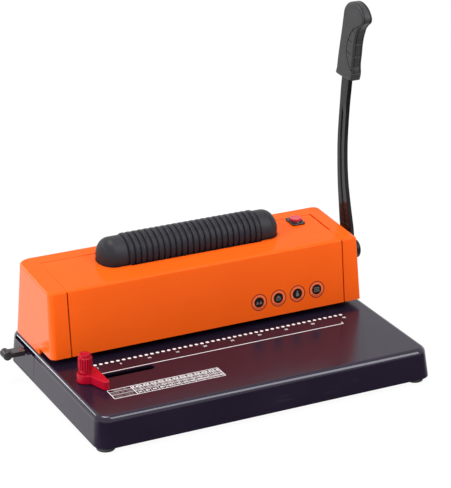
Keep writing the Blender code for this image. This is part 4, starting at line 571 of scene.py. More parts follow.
# Sheet metal. The frames, the punch, the roller's cradle and the drawer's runners are cut and
# folded from zinc-plated sheet, with a faint rolled line and dull blooms. Turned parts are steel.
brushed, given, brushed_out = new_tree("brushed", "Shader", {"Vector": "Vector", "Bloom": 30.0},
                                       {"Height": "Float", "Tone": "Float"})
blooms = noise(brushed, given["Vector"], given["Bloom"], 3.0, 0.6)
fed(brushed, brushed_out, {"Height": noise(brushed, given["Vector"], 1.0, 2.0, 0.5, (40.0, 900.0, 900.0)),
                           "Tone": between(brushed, blooms, 0.35, 0.65)})


def metal(name, colour, bloom_colour, roughness, dull, lift=0.000004, bloom=30.0):
    """A bare or plated metal: its tone in soft blooms and its surface in fine lines."""
    made, tree, shader, place = new_finish(name, roughness, 1.0)
    surface = new_node(tree, "ShaderNodeGroup", {"Vector": place, "Bloom": bloom}, node_tree=brushed)
    fed(tree, shader, {"Base Color": blended(tree, surface["Tone"], colour, bloom_colour),
                       "Roughness": between(tree, surface["Tone"], 0.0, 1.0, roughness, dull)})
    raised(tree, shader, surface["Height"], lift)
    return made


def painted(finish, *nodes):
    """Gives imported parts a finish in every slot."""
    for node in nodes:
        for slot in parts[node].material_slots:
            slot.material = finish


zinc = metal("zinc_plate", (0.56, 0.56, 0.54), (0.47, 0.48, 0.47), 0.34, 0.48)
ground_steel = metal("ground_steel", (0.60, 0.60, 0.61), (0.53, 0.53, 0.55), 0.22, 0.32, bloom=45.0)
bush_bronze = metal("bush_bronze", (0.58, 0.37, 0.17), (0.47, 0.29, 0.13), 0.32, 0.45, bloom=60.0)
# The bottom plate is darkened to near black as painted shade, so that the base's inside looks shaded through
# its openings.
shade_darkened_zinc = metal("black_zinc_plate", (0.060, 0.060, 0.065), (0.045, 0.045, 0.050), 0.40, 0.52)
painted(shade_darkened_zinc, "bottom_plate")
painted(zinc, "drawer_runner_front", "drawer_runner_rear", "power_supply", "side_frame_left",
        "side_frame_right", "punch_guide_plate", "paper_backstop", "punch_carrier", "roller_cradle",
        "motor_bracket", "roller_motor", "guide_nut")
painted(ground_steel, "die_plate", "punch_pins", "main_shaft", "eccentric_left", "eccentric_right",
        "roller_shaft", "motor_pulley")
painted(bush_bronze, "shaft_bush_left", "shaft_bush_right", "roller_bearing_left", "roller_bearing_right")

# Return springs. Two coil springs of steel wire lift the punch. Each stands on the guide
# plate under its yoke and is pressed shorter by the punch's stroke.
SPRING_WIRE, SPRING_TURNS = 0.0006, 5.0
COIL_SIDES, WIRE_SIDES = 28, 10
spring_steel = metal("spring_steel", (0.50, 0.50, 0.52), (0.40, 0.40, 0.42), 0.28, 0.4, bloom=120.0)
coiled_wire, given, end = new_tree("coiled_wire", "Geometry", {
    "Radius": 0.0, "Turns": SPRING_TURNS, "Wire": SPRING_WIRE, "Height": 0.0}, {"Geometry": "Geometry"})
coil = new_node(coiled_wire, "GeometryNodeCurveSpiral", {
    "Resolution": COIL_SIDES, "Start Radius": given["Radius"], "End Radius": given["Radius"],
    "Rotations": given["Turns"], "Height": given["Height"]})
wire = new_node(coiled_wire, "GeometryNodeCurvePrimitiveCircle", {"Resolution": WIRE_SIDES,
                                                                 "Radius": given["Wire"]})
swept = new_node(coiled_wire, "GeometryNodeCurveToMesh", {
    "Curve": coil["Curve"], "Profile Curve": wire["Curve"], "Fill Caps": True})
ended(coiled_wire, end, swept["Mesh"], spring_steel)
for side in ("left", "right"):
    low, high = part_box("return_spring_" + side)
    middle, height = (low + high) / 2, high.z - low.z
    spring = grown("spring", coiled_wire, weld=True, Radius=(high.x - low.x) / 2 - SPRING_WIRE,
                   Turns=SPRING_TURNS, Wire=SPRING_WIRE, Height=height - 2 * SPRING_WIRE)
    spring.data.transform(Matrix.Translation((middle.x, middle.y, low.z + SPRING_WIRE)))
    spring = dressed(spring, "coil_spring_" + side, "machine", spring_steel, "bright_steel",
                     "return_spring_" + side, crease=60.0)
    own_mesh(spring)

# Waste drawer. A black moulded tray under the punch catches the cut paper. Its front fills
# the opening in the base's left wall, and a ribbed T-shaped pull is plugged into it.
PULL_BEAD, PULL_NECK, PULL_EDGE = 0.0048, 0.0027, 0.0006
PULL_GROOVES, GROOVE_WIDTH, GROOVE_SINK = 5, 0.0006, 0.0005
drawer_black = plastic("drawer_black", (0.016, 0.015, 0.018), (0.022, 0.021, 0.024), (0.07, 0.07, 0.075),
                       0.22, 0.34, grain=1100.0, lift=0.00002)
painted(base_black, "waste_drawer")
pull_low, pull_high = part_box("drawer_pull")
pull_x, pull_z = pull_low.x + PULL_BEAD, pull_low.z + PULL_BEAD - 0.00004
pull_root = drawer_low.x - 0.0001
pull = drawn_out(arc((pull_z, pull_x), PULL_BEAD, 124, 416, 28)
                 + [(pull_z + PULL_NECK, pull_root), (pull_z - PULL_NECK, pull_root)],
                 "Y", pull_low.y, pull_high.y, rounding=PULL_EDGE)
grooves = []
for i in range(PULL_GROOVES):
    groove_y = pull_low.y + (pull_high.y - pull_low.y) / (PULL_GROOVES + 1) * (i + 1)
    grooves.append(turned(rectangle(PULL_BEAD - GROOVE_SINK, PULL_BEAD + OVER, groove_y - GROOVE_WIDTH / 2,
                                    groove_y + GROOVE_WIDTH / 2), "Y", (pull_x, 0, pull_z), 40))
dressed(carved(pull, *grooves), "ribbed_pull", "drawer", drawer_black, "black_plastic", "drawer_pull")

# Power inlet. A three-pin socket body in matt black plastic, set in the base's back wall,
# with plated flat pins in its recess.
PIN_HALF, PIN_LENGTH, PIN_HEIGHT, PIN_SINK = 0.0010, 0.0080, 0.0040, 0.0075
PIN_PLACES = ((-0.0070, -0.0010), (0.0, 0.0022), (0.0070, -0.0010))
inlet_black = plastic("inlet_black", (0.020, 0.020, 0.021), (0.026, 0.026, 0.027), (0.08, 0.08, 0.08),
                      0.38, 0.5, grain=1300.0, lift=0.00003)
painted(inlet_black, "power_inlet")
inlet_middle = middle_of("power_inlet")
pin = drawn_out(rectangle(-PIN_HALF, PIN_HALF, -PIN_HEIGHT / 2, PIN_HEIGHT / 2), "Z", -PIN_LENGTH / 2,
                PIN_LENGTH / 2, rounding=0.0003)
pin.data.transform(Matrix.Rotation(pi / 2, 4, "X"))
pins = at_each("inlet_pins", [(inlet_middle.x + x, inlet_low.y + PIN_SINK, inlet_middle.z + z)
                              for x, z in PIN_PLACES], pin, ground_steel)
dressed(pins, "inlet_pins", "machine", ground_steel, "bright_steel")

# Housing. Two mouldings in gloss orange plastic: a casing with both ends and the back, and
# the cover that closes its front and top. They meet in open seams, and four screws hold the
# casing to the frames from behind.
WALL = 0.0025
FRONT_LEAN, REAR_LEAN, END_LEAN = 0.0091, 0.0100, 0.0022
FRONT_RISE, REAR_RISE = 0.0765, 0.0815
TOP_EDGE, REAR_EDGE = 0.0025, 0.0035
HOUSING_CORNERS = (0.0060, 0.0025, 0.0080, 0.0150)
SEAM_LEFT, SEAM_RIGHT, SEAM_BACK = -0.1552, 0.1624, 0.0885
SEAM_GAPS = (0.00012, 0.0002, 0.0005)
GROOVE_HALF, GROOVE_DEPTH = 0.0007, 0.0009
OPEN_HALF, STEP_DEPTH, STEP_START = 0.0007, 0.0021, 0.0430
THROAT_TOP, THROAT_BACK = 0.0450, 0.0420
ARM_HOLE, ARM_HOLE_START = 0.008, 0.165
FAR = 0.4
housing_orange = plastic("gloss_orange_moulding", (0.83, 0.106, 0.008), (0.80, 0.099, 0.007),
                         (0.88, 0.20, 0.07), 0.12, 0.2, grain=700.0, lift=0.000006, specular=0.04,
                         scuffs=0.08, polished=("X", -0.1782, 0.0045, 0.62))
HOUSING_FOOT = (-0.17755, 0.1828, 0.0071, 0.1175, deck_z)
HOUSING_HEAD = (HOUSING_FOOT[0] + END_LEAN, HOUSING_FOOT[1] - END_LEAN, HOUSING_FOOT[2] + FRONT_LEAN,
                HOUSING_FOOT[3] - REAR_LEAN, deck_z + FRONT_RISE, deck_z + REAR_RISE)
front_slope = FRONT_LEAN / FRONT_RISE
top_slope = (REAR_RISE - FRONT_RISE) / (HOUSING_HEAD[3] - HOUSING_HEAD[2])


def housing_form(low, grow=0.0):
    return tub(HOUSING_FOOT, HOUSING_HEAD, low, HOUSING_CORNERS, TOP_EDGE, REAR_EDGE, grow)


def housing_top(y):
    """Height of the sloping top at a depth."""
    return HOUSING_HEAD[4] + (y - HOUSING_HEAD[2]) * top_slope


def cover_region(share, low):
    """The room of the cover between the seams, each seam's gap taken off by a share."""
    left, right, back = (gap * share for gap in SEAM_GAPS)
    return block((SEAM_LEFT + left, -FAR, low), (SEAM_RIGHT - right, SEAM_BACK - back, FAR))


def seam_grooves():
    """V-shaped cutters up both front seams and along the back one, open slits where the two
    mouldings stand apart up the front, and a deep step along the right seam's rear half."""
    cutters = []
    to_front = Matrix.Translation((0, HOUSING_FOOT[2] - front_slope * deck_z, 0))
    to_front[1][2] = front_slope
    for x in (SEAM_LEFT, SEAM_RIGHT):
        for outline in ([(x - 2 * GROOVE_HALF, -GROOVE_DEPTH), (x + 2 * GROOVE_HALF, -GROOVE_DEPTH),
                         (x, GROOVE_DEPTH)], rectangle(x - OPEN_HALF, x + OPEN_HALF, -OVER, WALL + OVER)):
            cutter = drawn_out(outline, "Z", deck_z - OVER, deck_z + FRONT_RISE - TOP_EDGE * 0.6)
            cutter.data.transform(to_front)
            cutters.append(cutter)
    step = [(y, housing_top(y) - STEP_DEPTH) for y in (STEP_START, SEAM_BACK)]
    cutters.append(drawn_out(step + [(SEAM_BACK, FAR), (STEP_START, FAR)], "X",
                             SEAM_RIGHT - 1.6 * OPEN_HALF, SEAM_RIGHT + 1.6 * OPEN_HALF))
    back_z = housing_top(SEAM_BACK)
    groove = [(SEAM_BACK + side * 1.4 * GROOVE_HALF, back_z + (2 * abs(side) - 1) * GROOVE_DEPTH)
              for side in (-1, 0, 1)]
    cutters.append(drawn_out(groove, "X", SEAM_LEFT, SEAM_RIGHT))
    return cutters


SLEEVE_RADIUS, SHROUD_RADIUS, SHROUD_DOME = 0.0210, 0.0195, 0.0150
OPENING_MARGIN, SEAM = 0.0008, 0.0006
LEFT_TIP, RIGHT_TIP = -0.1003, 0.1073
SWITCH_X, SWITCH_Y = 0.138, 0.07665
SWITCH_HOLE = Vector((0.0073, 0.00855, 0.02))
roller_low, roller_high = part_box("roller_sleeve")
roller_y, roller_z = middle_of("roller_shaft").yz
sink = roller_z - housing_top(roller_y)
chord = (SHROUD_RADIUS ** 2 - sink ** 2) ** 0.5
sleeve_room = (SLEEVE_RADIUS ** 2 - sink ** 2) ** 0.5 + OPENING_MARGIN
opening = []
for dome_x, start in ((RIGHT_TIP - SHROUD_DOME, -90), (LEFT_TIP + SHROUD_DOME, 90)):
    opening += [(dome_x + x * (SHROUD_DOME * chord / SHROUD_RADIUS + OPENING_MARGIN),
                 roller_y + y * (chord + OPENING_MARGIN))
                for x, y in arc((0, 0), 1.0, start, start + 180, 24)]
switch_place = (Matrix.Translation((SWITCH_X, SWITCH_Y, housing_top(SWITCH_Y)))
                @ Matrix.Rotation(atan2(REAR_RISE - FRONT_RISE, HOUSING_HEAD[3] - HOUSING_HEAD[2]), 4, "X"))
switch_hole = block(-SWITCH_HOLE, SWITCH_HOLE)
switch_hole.data.transform(switch_place)
above_deck = deck_z + GAP
cover = carved(housing_form(above_deck), housing_form(deck_z - OVER, -WALL))
cover = carved(cover, cover_region(1, THROAT_TOP), operation="INTERSECT")
cover = carved(cover, drawn_out(opening, "Z", deck_z + FRONT_RISE - REAR_EDGE, FAR),
               block((roller_low.x - SEAM, roller_y - sleeve_room, deck_z + FRONT_RISE - REAR_EDGE),
                     (roller_high.x + SEAM, roller_y + sleeve_room, FAR)), switch_hole, *seam_grooves())
dressed(cover, "front_and_top_cover", "machine", housing_orange, "orange_plastic", "front_cover",
        soften=0.0004, crease=40.0)

HEAD_RADIUS, HEAD_DOME, HEAD_PROUD = 0.0030, 0.0018, 0.0010
HEAD_HOLE, HEAD_HOLE_DEPTH, SHANK_HOLE = 0.0033, 0.0021, 0.0018
SHANK_RADIUS, SHANK_LENGTH, SHANK_TIP = 0.0015, 0.0110, 0.0005
CROSS_ARM, CROSS_HALF, CROSS_DEPTH = 0.0019, 0.0003, 0.0010
screw_names = [f"casing_screw_{side}_{level}" for side in ("left", "right") for level in ("low", "high")]
screw_places, screw_holes = [], []
for screw_name in screw_names:
    middle, screw_front = middle_of(screw_name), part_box(screw_name)[0].y
    head_y = HOUSING_FOOT[3] - REAR_LEAN * (middle.z - deck_z) / REAR_RISE + HEAD_PROUD
    screw_places.append((middle.x, head_y, middle.z))
    screw_holes.append(turned([(0, FAR), (HEAD_HOLE, FAR), (HEAD_HOLE, head_y - HEAD_HOLE_DEPTH),
                               (SHANK_HOLE, head_y - HEAD_HOLE_DEPTH), (SHANK_HOLE, screw_front),
                               (0, screw_front)], "Y", (middle.x, 0, middle.z), 32))
hinge = middle_of("main_shaft")
hinge.x = 0
casing = carved(
    housing_form(above_deck), housing_form(deck_z - OVER, -WALL), cover_region(-1, -FAR),
    block((-FAR, -FAR, 0), (FAR, THROAT_BACK, THROAT_TOP)),
    turned(rectangle(0, ARM_HOLE, ARM_HOLE_START, FAR), "X", hinge, 40),
    *screw_holes, *seam_grooves())
dressed(casing, "ends_and_back_casing", "machine", housing_orange, "orange_plastic", "rear_casing",
        soften=0.0002, crease=40.0)

screw_profile = [(0, 0)] + [(HEAD_RADIUS * sin(t), -HEAD_DOME * (1 - cos(t)) * 0.8)
                            for t in [i / 6 * pi / 2 for i in range(1, 7)]]
screw_profile += [(HEAD_RADIUS, -HEAD_DOME), (SHANK_RADIUS, -HEAD_DOME), (SHANK_RADIUS, -SHANK_LENGTH),
                  (0, -SHANK_LENGTH - SHANK_TIP)]
screw = carved(turned(screw_profile, "Y", (0, 0, 0), 32),
               block((-CROSS_ARM, -CROSS_DEPTH, -CROSS_HALF), (CROSS_ARM, OVER, CROSS_HALF)),
               block((-CROSS_HALF, -CROSS_DEPTH, -CROSS_ARM), (CROSS_HALF, OVER, CROSS_ARM)))
screws = at_each("casing_screws", screw_places, screw, zinc)
dressed(screws, "cross_head_screws", "machine", zinc, "plated_steel", *screw_names)

# Coil roller. A ribbed rubber sleeve on a steel core, turned by the motor's belt. Two domed
# shrouds in satin charcoal plastic close its ends and stand on the cradle's arms.
RIBS, SLEEVE_STEPS = 23, 72
SLEEVE_BORE, SLEEVE_LONGER = 0.0155, 0.0030
RIB_ROOT, RIB_GROOVE, RIB_CROWN = 0.0190, 0.0006, 0.0002
sleeve_rubber = plastic("ribbed_rubber", (0.013, 0.012, 0.017), (0.016, 0.015, 0.021), (0.07, 0.07, 0.075),
                        0.40, 0.54, grain=1600.0, lift=0.00002, smear=40.0, specular=0.18)
sleeve_left = roller_low.x - SLEEVE_LONGER
rib_pitch = (roller_high.x - sleeve_left) / RIBS
shoulder = rib_pitch * 0.17
rib = [(RIB_ROOT, 0.0), (RIB_ROOT, RIB_GROOVE)]
rib += [(RIB_ROOT + (SLEEVE_RADIUS - RIB_CROWN - RIB_ROOT) * sin(t), RIB_GROOVE + shoulder * (1 - cos(t)))
        for t in [i / 4 * pi / 2 for i in range(1, 5)]]
rib.append((SLEEVE_RADIUS, rib_pitch / 2))
rib += [(radius, rib_pitch - place) for radius, place in reversed(rib[:-1])]
rib_places = [(sleeve_left + i * rib_pitch, roller_y, roller_z) for i in range(RIBS)]
sleeve = at_each("row_of_ribs", rib_places, turned(rib, "X", (0, 0, 0), SLEEVE_STEPS, closed=False),
                 sleeve_rubber)
outward(sleeve.data)
work = bmesh.new()
work.from_mesh(sleeve.data)
rims = bmesh.ops.extrude_edge_only(work, edges=[edge for edge in work.edges if edge.is_boundary])["geom"]
for vert in (item for item in rims if isinstance(item, bmesh.types.BMVert)):
    radial = Vector((0, vert.co.y - roller_y, vert.co.z - roller_z)).normalized() * SLEEVE_BORE
    vert.co = Vector((vert.co.x, roller_y + radial.y, roller_z + radial.z))
bmesh.ops.bridge_loops(work, edges=[item for item in rims if isinstance(item, bmesh.types.BMEdge)
                                    and item.is_boundary])
bmesh.ops.recalc_face_normals(work, faces=work.faces)
work.to_mesh(sleeve.data)
work.free()
dressed(sleeve, "ribbed_sleeve", "coil_roller", sleeve_rubber, "dark_rubber", "roller_sleeve", crease=50.0)

SHROUD_WALL, SHROUD_CUT, SHROUD_RIM = 0.0020, 0.0070, 0.0004
ARM_THICKNESS = 0.0025
shroud_plastic = plastic("satin_charcoal", (0.017, 0.017, 0.021), (0.021, 0.021, 0.025), (0.07, 0.07, 0.075),
                         0.42, 0.52, grain=1400.0, lift=0.000015, specular=0.18)
cradle_low, cradle_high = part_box("roller_cradle")


def dome(radius, depth, tip, toward):
    """A quarter of an oval, as (radius, place), from the tip down to the radius."""
    turns = [i / 14 * pi / 2 for i in range(1, 15)]
    return [(0, tip)] + [(radius * sin(t), tip - toward * depth * (1 - cos(t))) for t in turns]


for side, rim, tip, toward, arm in (("left", sleeve_left - SEAM, LEFT_TIP, -1, cradle_low.x),
                                    ("right", roller_high.x + SEAM, RIGHT_TIP, 1, cradle_high.x)):
    outer = dome(SHROUD_RADIUS, SHROUD_DOME, tip, toward)
    outer += [(SHROUD_RADIUS, rim + toward * SHROUD_RIM), (SHROUD_RADIUS - SHROUD_RIM, rim)]
    inner = dome(SHROUD_RADIUS - SHROUD_WALL, SHROUD_DOME - SHROUD_WALL, tip - toward * SHROUD_WALL, toward)
    inner.append((SHROUD_RADIUS - SHROUD_WALL, rim))
    shroud = turned(outer + inner[::-1], "X", (0, roller_y, roller_z), 72)
    open_end, closed_end = sorted((rim - toward * OVER, arm + toward * ARM_THICKNESS))
    shroud = carved(shroud, block((open_end, roller_y - SLEEVE_RADIUS, roller_z - SLEEVE_RADIUS),
                                  (closed_end, roller_y + SLEEVE_RADIUS, roller_z - SHROUD_CUT)))
    dressed(shroud, "domed_shroud_" + side, "machine", shroud_plastic, "charcoal_plastic",
            "roller_shroud_" + side, crease=50.0)

# Drive. A small motor behind the roller turns it through a toothed rubber belt on two flanged
# pulleys. The belt's teeth lie on its inner side.
BELT_THICK, BELT_WEB = 0.0015, 0.0009
TOOTH_PITCH, TOOTH_STEPS = 0.0024, 4
LAP_STEPS = 36
belt_rubber = plastic("belt_rubber", (0.022, 0.022, 0.024), (0.030, 0.030, 0.032), (0.08, 0.08, 0.08),
                      0.5, 0.62, grain=1500.0, lift=0.00003)
pulley_black = plastic("pulley_black", (0.018, 0.018, 0.020), (0.024, 0.024, 0.026), (0.07, 0.07, 0.07),
                       0.3, 0.42, grain=1200.0, lift=0.00002)
painted(pulley_black, "driven_pulley")
belt_low, belt_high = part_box("drive_belt")
big_centre, small_centre = Vector((roller_y, roller_z)), middle_of("motor_pulley").yz
big_radius, small_radius = belt_high.z - roller_z, belt_high.y - small_centre.x
run = small_centre - big_centre
run_turn = atan2(run.y, run.x)
lap = acos((big_radius - small_radius) / run.length)
belt_outer = []
for centre, radius, start, turn in ((big_centre, big_radius, run_turn + lap, 2 * pi - 2 * lap),
                                    (small_centre, small_radius, run_turn - lap, 2 * lap)):
    for angle in (start + turn * i / LAP_STEPS for i in range(LAP_STEPS + 1)):
        belt_outer.append(centre + Vector((cos(angle), sin(angle))) * radius)
belt_sides = list(zip(belt_outer, belt_outer[1:] + belt_outer[:1]))
belt_length = sum((b - a).length for a, b in belt_sides)
step_length = belt_length / (round(belt_length / TOOTH_PITCH) * TOOTH_STEPS)
belt_inner = []
walked = 0.0
for a, b in belt_sides:
    along = (b - a).normalized()
    while walked < (b - a).length - 1e-9:
        deep = BELT_THICK if len(belt_inner) % TOOTH_STEPS in (0, 1) else BELT_WEB
        belt_inner.append(a + along * walked + Vector((-along.y, along.x)) * deep)
        walked += step_length
    walked -= (b - a).length
belt = drawn_out(belt_outer, "X", belt_low.x, belt_high.x, holes=[belt_inner])
dressed(belt, "toothed_belt", "machine", belt_rubber, "dark_rubber", "drive_belt", crease=50.0)

# Roller switch. A round red push button, lit from inside, stands in a raised collar on a
# square black bezel, whose body snaps into the sloping top.
BEZEL_HALF, BEZEL_THICK, BEZEL_CORNER, BEZEL_EDGE = (0.0078, 0.0098), 0.0021, 0.0024, 0.0008
BODY_HALF, BODY_DEPTH, BODY_CORNER, BODY_LAP = (0.0069, 0.0081), 0.0200, 0.0010, 0.0006
BUTTON_RADIUS, BUTTON_TOP, BUTTON_FOOT, BUTTON_EDGE = 0.0063, 0.0056, -0.0060, 0.0010
DISH_RADIUS, DISH_DEPTH = 0.0043, 0.0005
COLLAR_RADIUS, COLLAR_TOP = 0.0077, 0.0029
COLLAR_EDGE, COLLAR_LIP, COLLAR_LAP = 0.0005, 0.0003, 0.0008
switch_black = plastic("switch_black", (0.012, 0.006, 0.009), (0.016, 0.008, 0.012), (0.06, 0.05, 0.06),
                       0.16, 0.26, grain=1300.0, lift=0.00002, specular=0.4)
button_room = BUTTON_RADIUS + GAP


def switch_block(half, corner, low, high, rounding=0.0):
    """A block with rounded corners about the button's axis."""
    plan = rounded_plan(-half[0], half[0], -half[1], half[1], [corner] * 4, 6)
    return drawn_out([(x, y) for x, y, _, _ in plan], "Z", low, high, rounding=rounding)


collar = turned([(0, COLLAR_TOP), (COLLAR_RADIUS - COLLAR_EDGE, COLLAR_TOP),
                 (COLLAR_RADIUS, COLLAR_TOP - COLLAR_EDGE), (COLLAR_RADIUS, BEZEL_THICK - COLLAR_LAP),
                 (0, BEZEL_THICK - COLLAR_LAP)], "Z", (0, 0, 0), 48)
bezel = carved(switch_block(BEZEL_HALF, BEZEL_CORNER, GAP, BEZEL_THICK, BEZEL_EDGE), collar,
               switch_block(BODY_HALF, BODY_CORNER, -BODY_DEPTH, GAP + BODY_LAP), operation="UNION")
bezel = carved(bezel, turned([(0, COLLAR_TOP + OVER), (button_room + COLLAR_LIP + OVER, COLLAR_TOP + OVER),
                              (button_room, COLLAR_TOP - COLLAR_LIP), (button_room, -BODY_DEPTH - OVER),
                              (0, -BODY_DEPTH - OVER)], "Z", (0, 0, 0), 48))
bezel.data.transform(switch_place)
dressed(bezel, "switch_bezel_and_body", "machine", switch_black, "black_plastic", "switch_bezel")

button_red, tree, shader, place = new_finish("lit_red_button", 0.16, specular=0.3)
button_skin = new_node(tree, "ShaderNodeGroup", {"Vector": place, "Grain": 500.0, "Cloud": 160.0},
                       node_tree=moulded_skin)
fed(tree, shader, {
    "Coat Weight": 0.3, "Subsurface Weight": 0.35, "Subsurface Scale": 0.004,
    "Base Color": blended(tree, button_skin["Clouding"], (0.50, 0.020, 0.050), (0.58, 0.035, 0.070))})
raised(tree, shader, button_skin["Height"], 0.00002)
button = turned([(0, BUTTON_TOP - DISH_DEPTH), (DISH_RADIUS, BUTTON_TOP - DISH_DEPTH),
                 (DISH_RADIUS + 0.0004, BUTTON_TOP - 0.0001)]
                + arc((BUTTON_RADIUS - BUTTON_EDGE, BUTTON_TOP - BUTTON_EDGE), BUTTON_EDGE, 90, 0, 6)
                + [(BUTTON_RADIUS, BUTTON_FOOT), (0, BUTTON_FOOT)], "Z", (0, 0, 0))
button.data.transform(switch_place)
dressed(button, "round_button", "start_button", button_red, "button_plastic", "switch_button")

# Lever. A bowed steel arm in gloss black paint, pressed with a long groove, stands on the
# shaft between a black hub and a round boss. Its head is a moulded grip with finger waves.
# The arm's line is (share of its length, share of its bow, share of its width) from its foot.
ARM_SHARES = [(0.145, 0.315, 1.52), (0.255, 0.587, 1.30), (0.370, 0.832, 1.12), (0.485, 0.962, 1.025),
              (0.600, 1.000, 1.00), (0.715, 0.935, 0.98), (0.830, 0.815, 0.97), (0.920, 0.700, 1.02),
              (1.150, 0.360, 1.02)]
ARM_LENGTH, ARM_BOW, ARM_WIDTH, ARM_EDGE, FRONT_EDGE = 0.2000, 0.0184, 0.0158, 0.0009, 0.0017
CHANNEL_TOP, CHANNEL_RUN, CHANNEL_DEPTH, CHANNEL_LIP = 0.82, 0.05, 0.0010, 0.0007
EYE_RADIUS, EYE_BORE, EYE_LAP = 0.0120, 0.0073, 0.0004
lever_low, lever_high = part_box("lever_arm")
arm_paint = plastic("gloss_black_paint", (0.006, 0.005, 0.006), (0.009, 0.008, 0.009), (0.05, 0.05, 0.05),
                    0.10, 0.18, grain=260.0, lift=0.00003, specular=0.2, smear=30.0)


def smooth_line(points, steps):
    """A smooth line through points of any size, with a number of steps between each."""
    line = []
    for i, (start, end) in enumerate(zip(points, points[1:])):
        before, after = points[max(i - 1, 0)], points[min(i + 2, len(points) - 1)]
        for t in (k / steps for k in range(steps)):
            line.append(tuple(
                0.5 * (2 * b + (c - a) * t + (2 * a - 5 * b + 4 * c - d) * t ** 2
                       + (3 * b - a - 3 * c + d) * t ** 3)
                for a, b, c, d in zip(before, start, end, after)))
    return line + [tuple(points[-1])]


half_thick = (lever_high.x - lever_low.x) / 2
rings = []
for height, bow, width in smooth_line(ARM_SHARES, 8):
    half = width * ARM_WIDTH / 2
    share = min(max((CHANNEL_TOP - height) / CHANNEL_RUN, 0.0), 1.0)
    floor_x, lip_x = -half_thick + CHANNEL_DEPTH * share, -half_thick + CHANNEL_LIP * share
    section = arc((half - ARM_EDGE, -half_thick + ARM_EDGE), ARM_EDGE, 0, -90, 4)
    section += [(0.2 * half, -half_thick), (0.2 * half - 0.0004, floor_x), (-0.35 * half, floor_x),
                (-half + FRONT_EDGE + 0.0006, lip_x)]
    section += arc((-half + FRONT_EDGE, lip_x + FRONT_EDGE), FRONT_EDGE, 270, 180, 5)
    section += arc((-half + ARM_EDGE, half_thick - ARM_EDGE), ARM_EDGE, 180, 90, 4)
    section += arc((half - ARM_EDGE, half_thick - ARM_EDGE), ARM_EDGE, 90, 0, 4)
    rings.append([(lever_low.x + half_thick + out, hinge.y + bow * ARM_BOW + across,
                   hinge.z + height * ARM_LENGTH) for across, out in section])
arm = lofted("arm", rings)
foot_height, foot_bow, foot_width = ARM_SHARES[0]
foot_y, foot_z = hinge.y + foot_bow * ARM_BOW, hinge.z + foot_height * ARM_LENGTH + EYE_LAP
foot_half = foot_width * ARM_WIDTH / 2
eye_outline = [(foot_y + foot_half, foot_z), (foot_y - foot_half, foot_z), (hinge.y - foot_half, hinge.z)]
eye_outline += arc(hinge.yz, EYE_RADIUS, 180, 360, 28) + [(hinge.y + foot_half, hinge.z)]
eye = drawn_out(eye_outline, "X", lever_low.x, lever_high.x, rounding=ARM_EDGE,
                holes=[circle(EYE_BORE, hinge.y, hinge.z, 36)])
arm = carved(arm, eye, operation="UNION")
dressed(arm, "bowed_arm", "lever", arm_paint, "black_paint", "lever_arm", crease=50.0)

# The grip's points are (back, up) from the hinge in millimetres.
GRIP_OUTLINE = [(25.6, 196.2), (25.1, 204.0), (23.2, 216.4), (19.6, 233.7), (17.1, 244.6), (14.8, 256.0),
                (12.9, 266.1), (11.4, 271.5), (8.3, 275.9), (4.2, 279.5), (-1.0, 281.9), (-7.0, 282.6),
                (-13.9, 281.6), (-20.6, 278.8), (-26.0, 274.0), (-28.9, 268.5), (-27.6, 264.0),
                (-23.0, 260.3), (-18.0, 255.2), (-15.4, 249.8), (-13.2, 244.5), (-11.6, 238.5),
                (-10.6, 233.0), (-9.8, 225.5), (-8.6, 218.5), (-7.9, 212.0), (-8.6, 206.6), (-8.2, 201.6),
                (-6.6, 197.6), (-3.6, 196.1)]
FRONT_START = 16
FINGER_LINES, FINGER_GROOVE, FINGER_REACH = (251.2, 237.4, 223.4, 211.4, 204.6), 0.0011, 0.4
INSET_LINE = [(-24.0, 261.6), (-16.0, 257.6), (-8.2, 253.1), (-2.9, 246.6), (0.6, 240.7), (3.5, 233.2),
              (4.4, 229.0), (4.1, 225.0), (1.6, 218.3), (-1.5, 213.3), (-6.0, 208.4), (-12.0, 205.4)]
NOTCHES = [((-7.6, 252.8), (-12.4, 251.2)), ((0.6, 241.2), (-7.5, 238.8)), ((3.4, 227.4), (-5.5, 225.0))]
INSET_WIDTH, NOTCH_WIDTH, INSET_DEPTH = 0.0011, 0.00088, 0.0010
GRIP_ROUNDING, GRIP_SEAM_PLACE, GRIP_SEAM, SEAM_HALF = 0.0022, 0.0027, 0.0007, 0.0004
SEAM_ROOM = ((-0.05, 0.205), (-0.003, 0.30))
grip_low, grip_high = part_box("lever_grip")
grip_plastic = plastic("soft_touch_grey", (0.024, 0.024, 0.026), (0.030, 0.030, 0.032), (0.10, 0.10, 0.10),
                       0.40, 0.52, grain=1500.0, lift=0.00003, smear=45.0, specular=0.25)


def at_hinge(points):
    return [(hinge.y + back / 1000, hinge.z + up / 1000) for back, up in points]


def offset_line(points, distance, cyclic=False):
    """A line moved sideways, to the left of its run."""
    moved = []
    for i, point in enumerate(points):
        before = points[i - 1] if i or cyclic else point
        after = points[(i + 1) % len(points)] if i < len(points) - 1 or cyclic else point
        along = Vector((after[0] - before[0], after[1] - before[1])).normalized()
        moved.append((point[0] - along.y * distance, point[1] + along.x * distance))
    return moved


def band(points, width):
    """The outline of a narrow band along a line."""
    return offset_line(points, width / 2) + offset_line(points, -width / 2)[::-1]


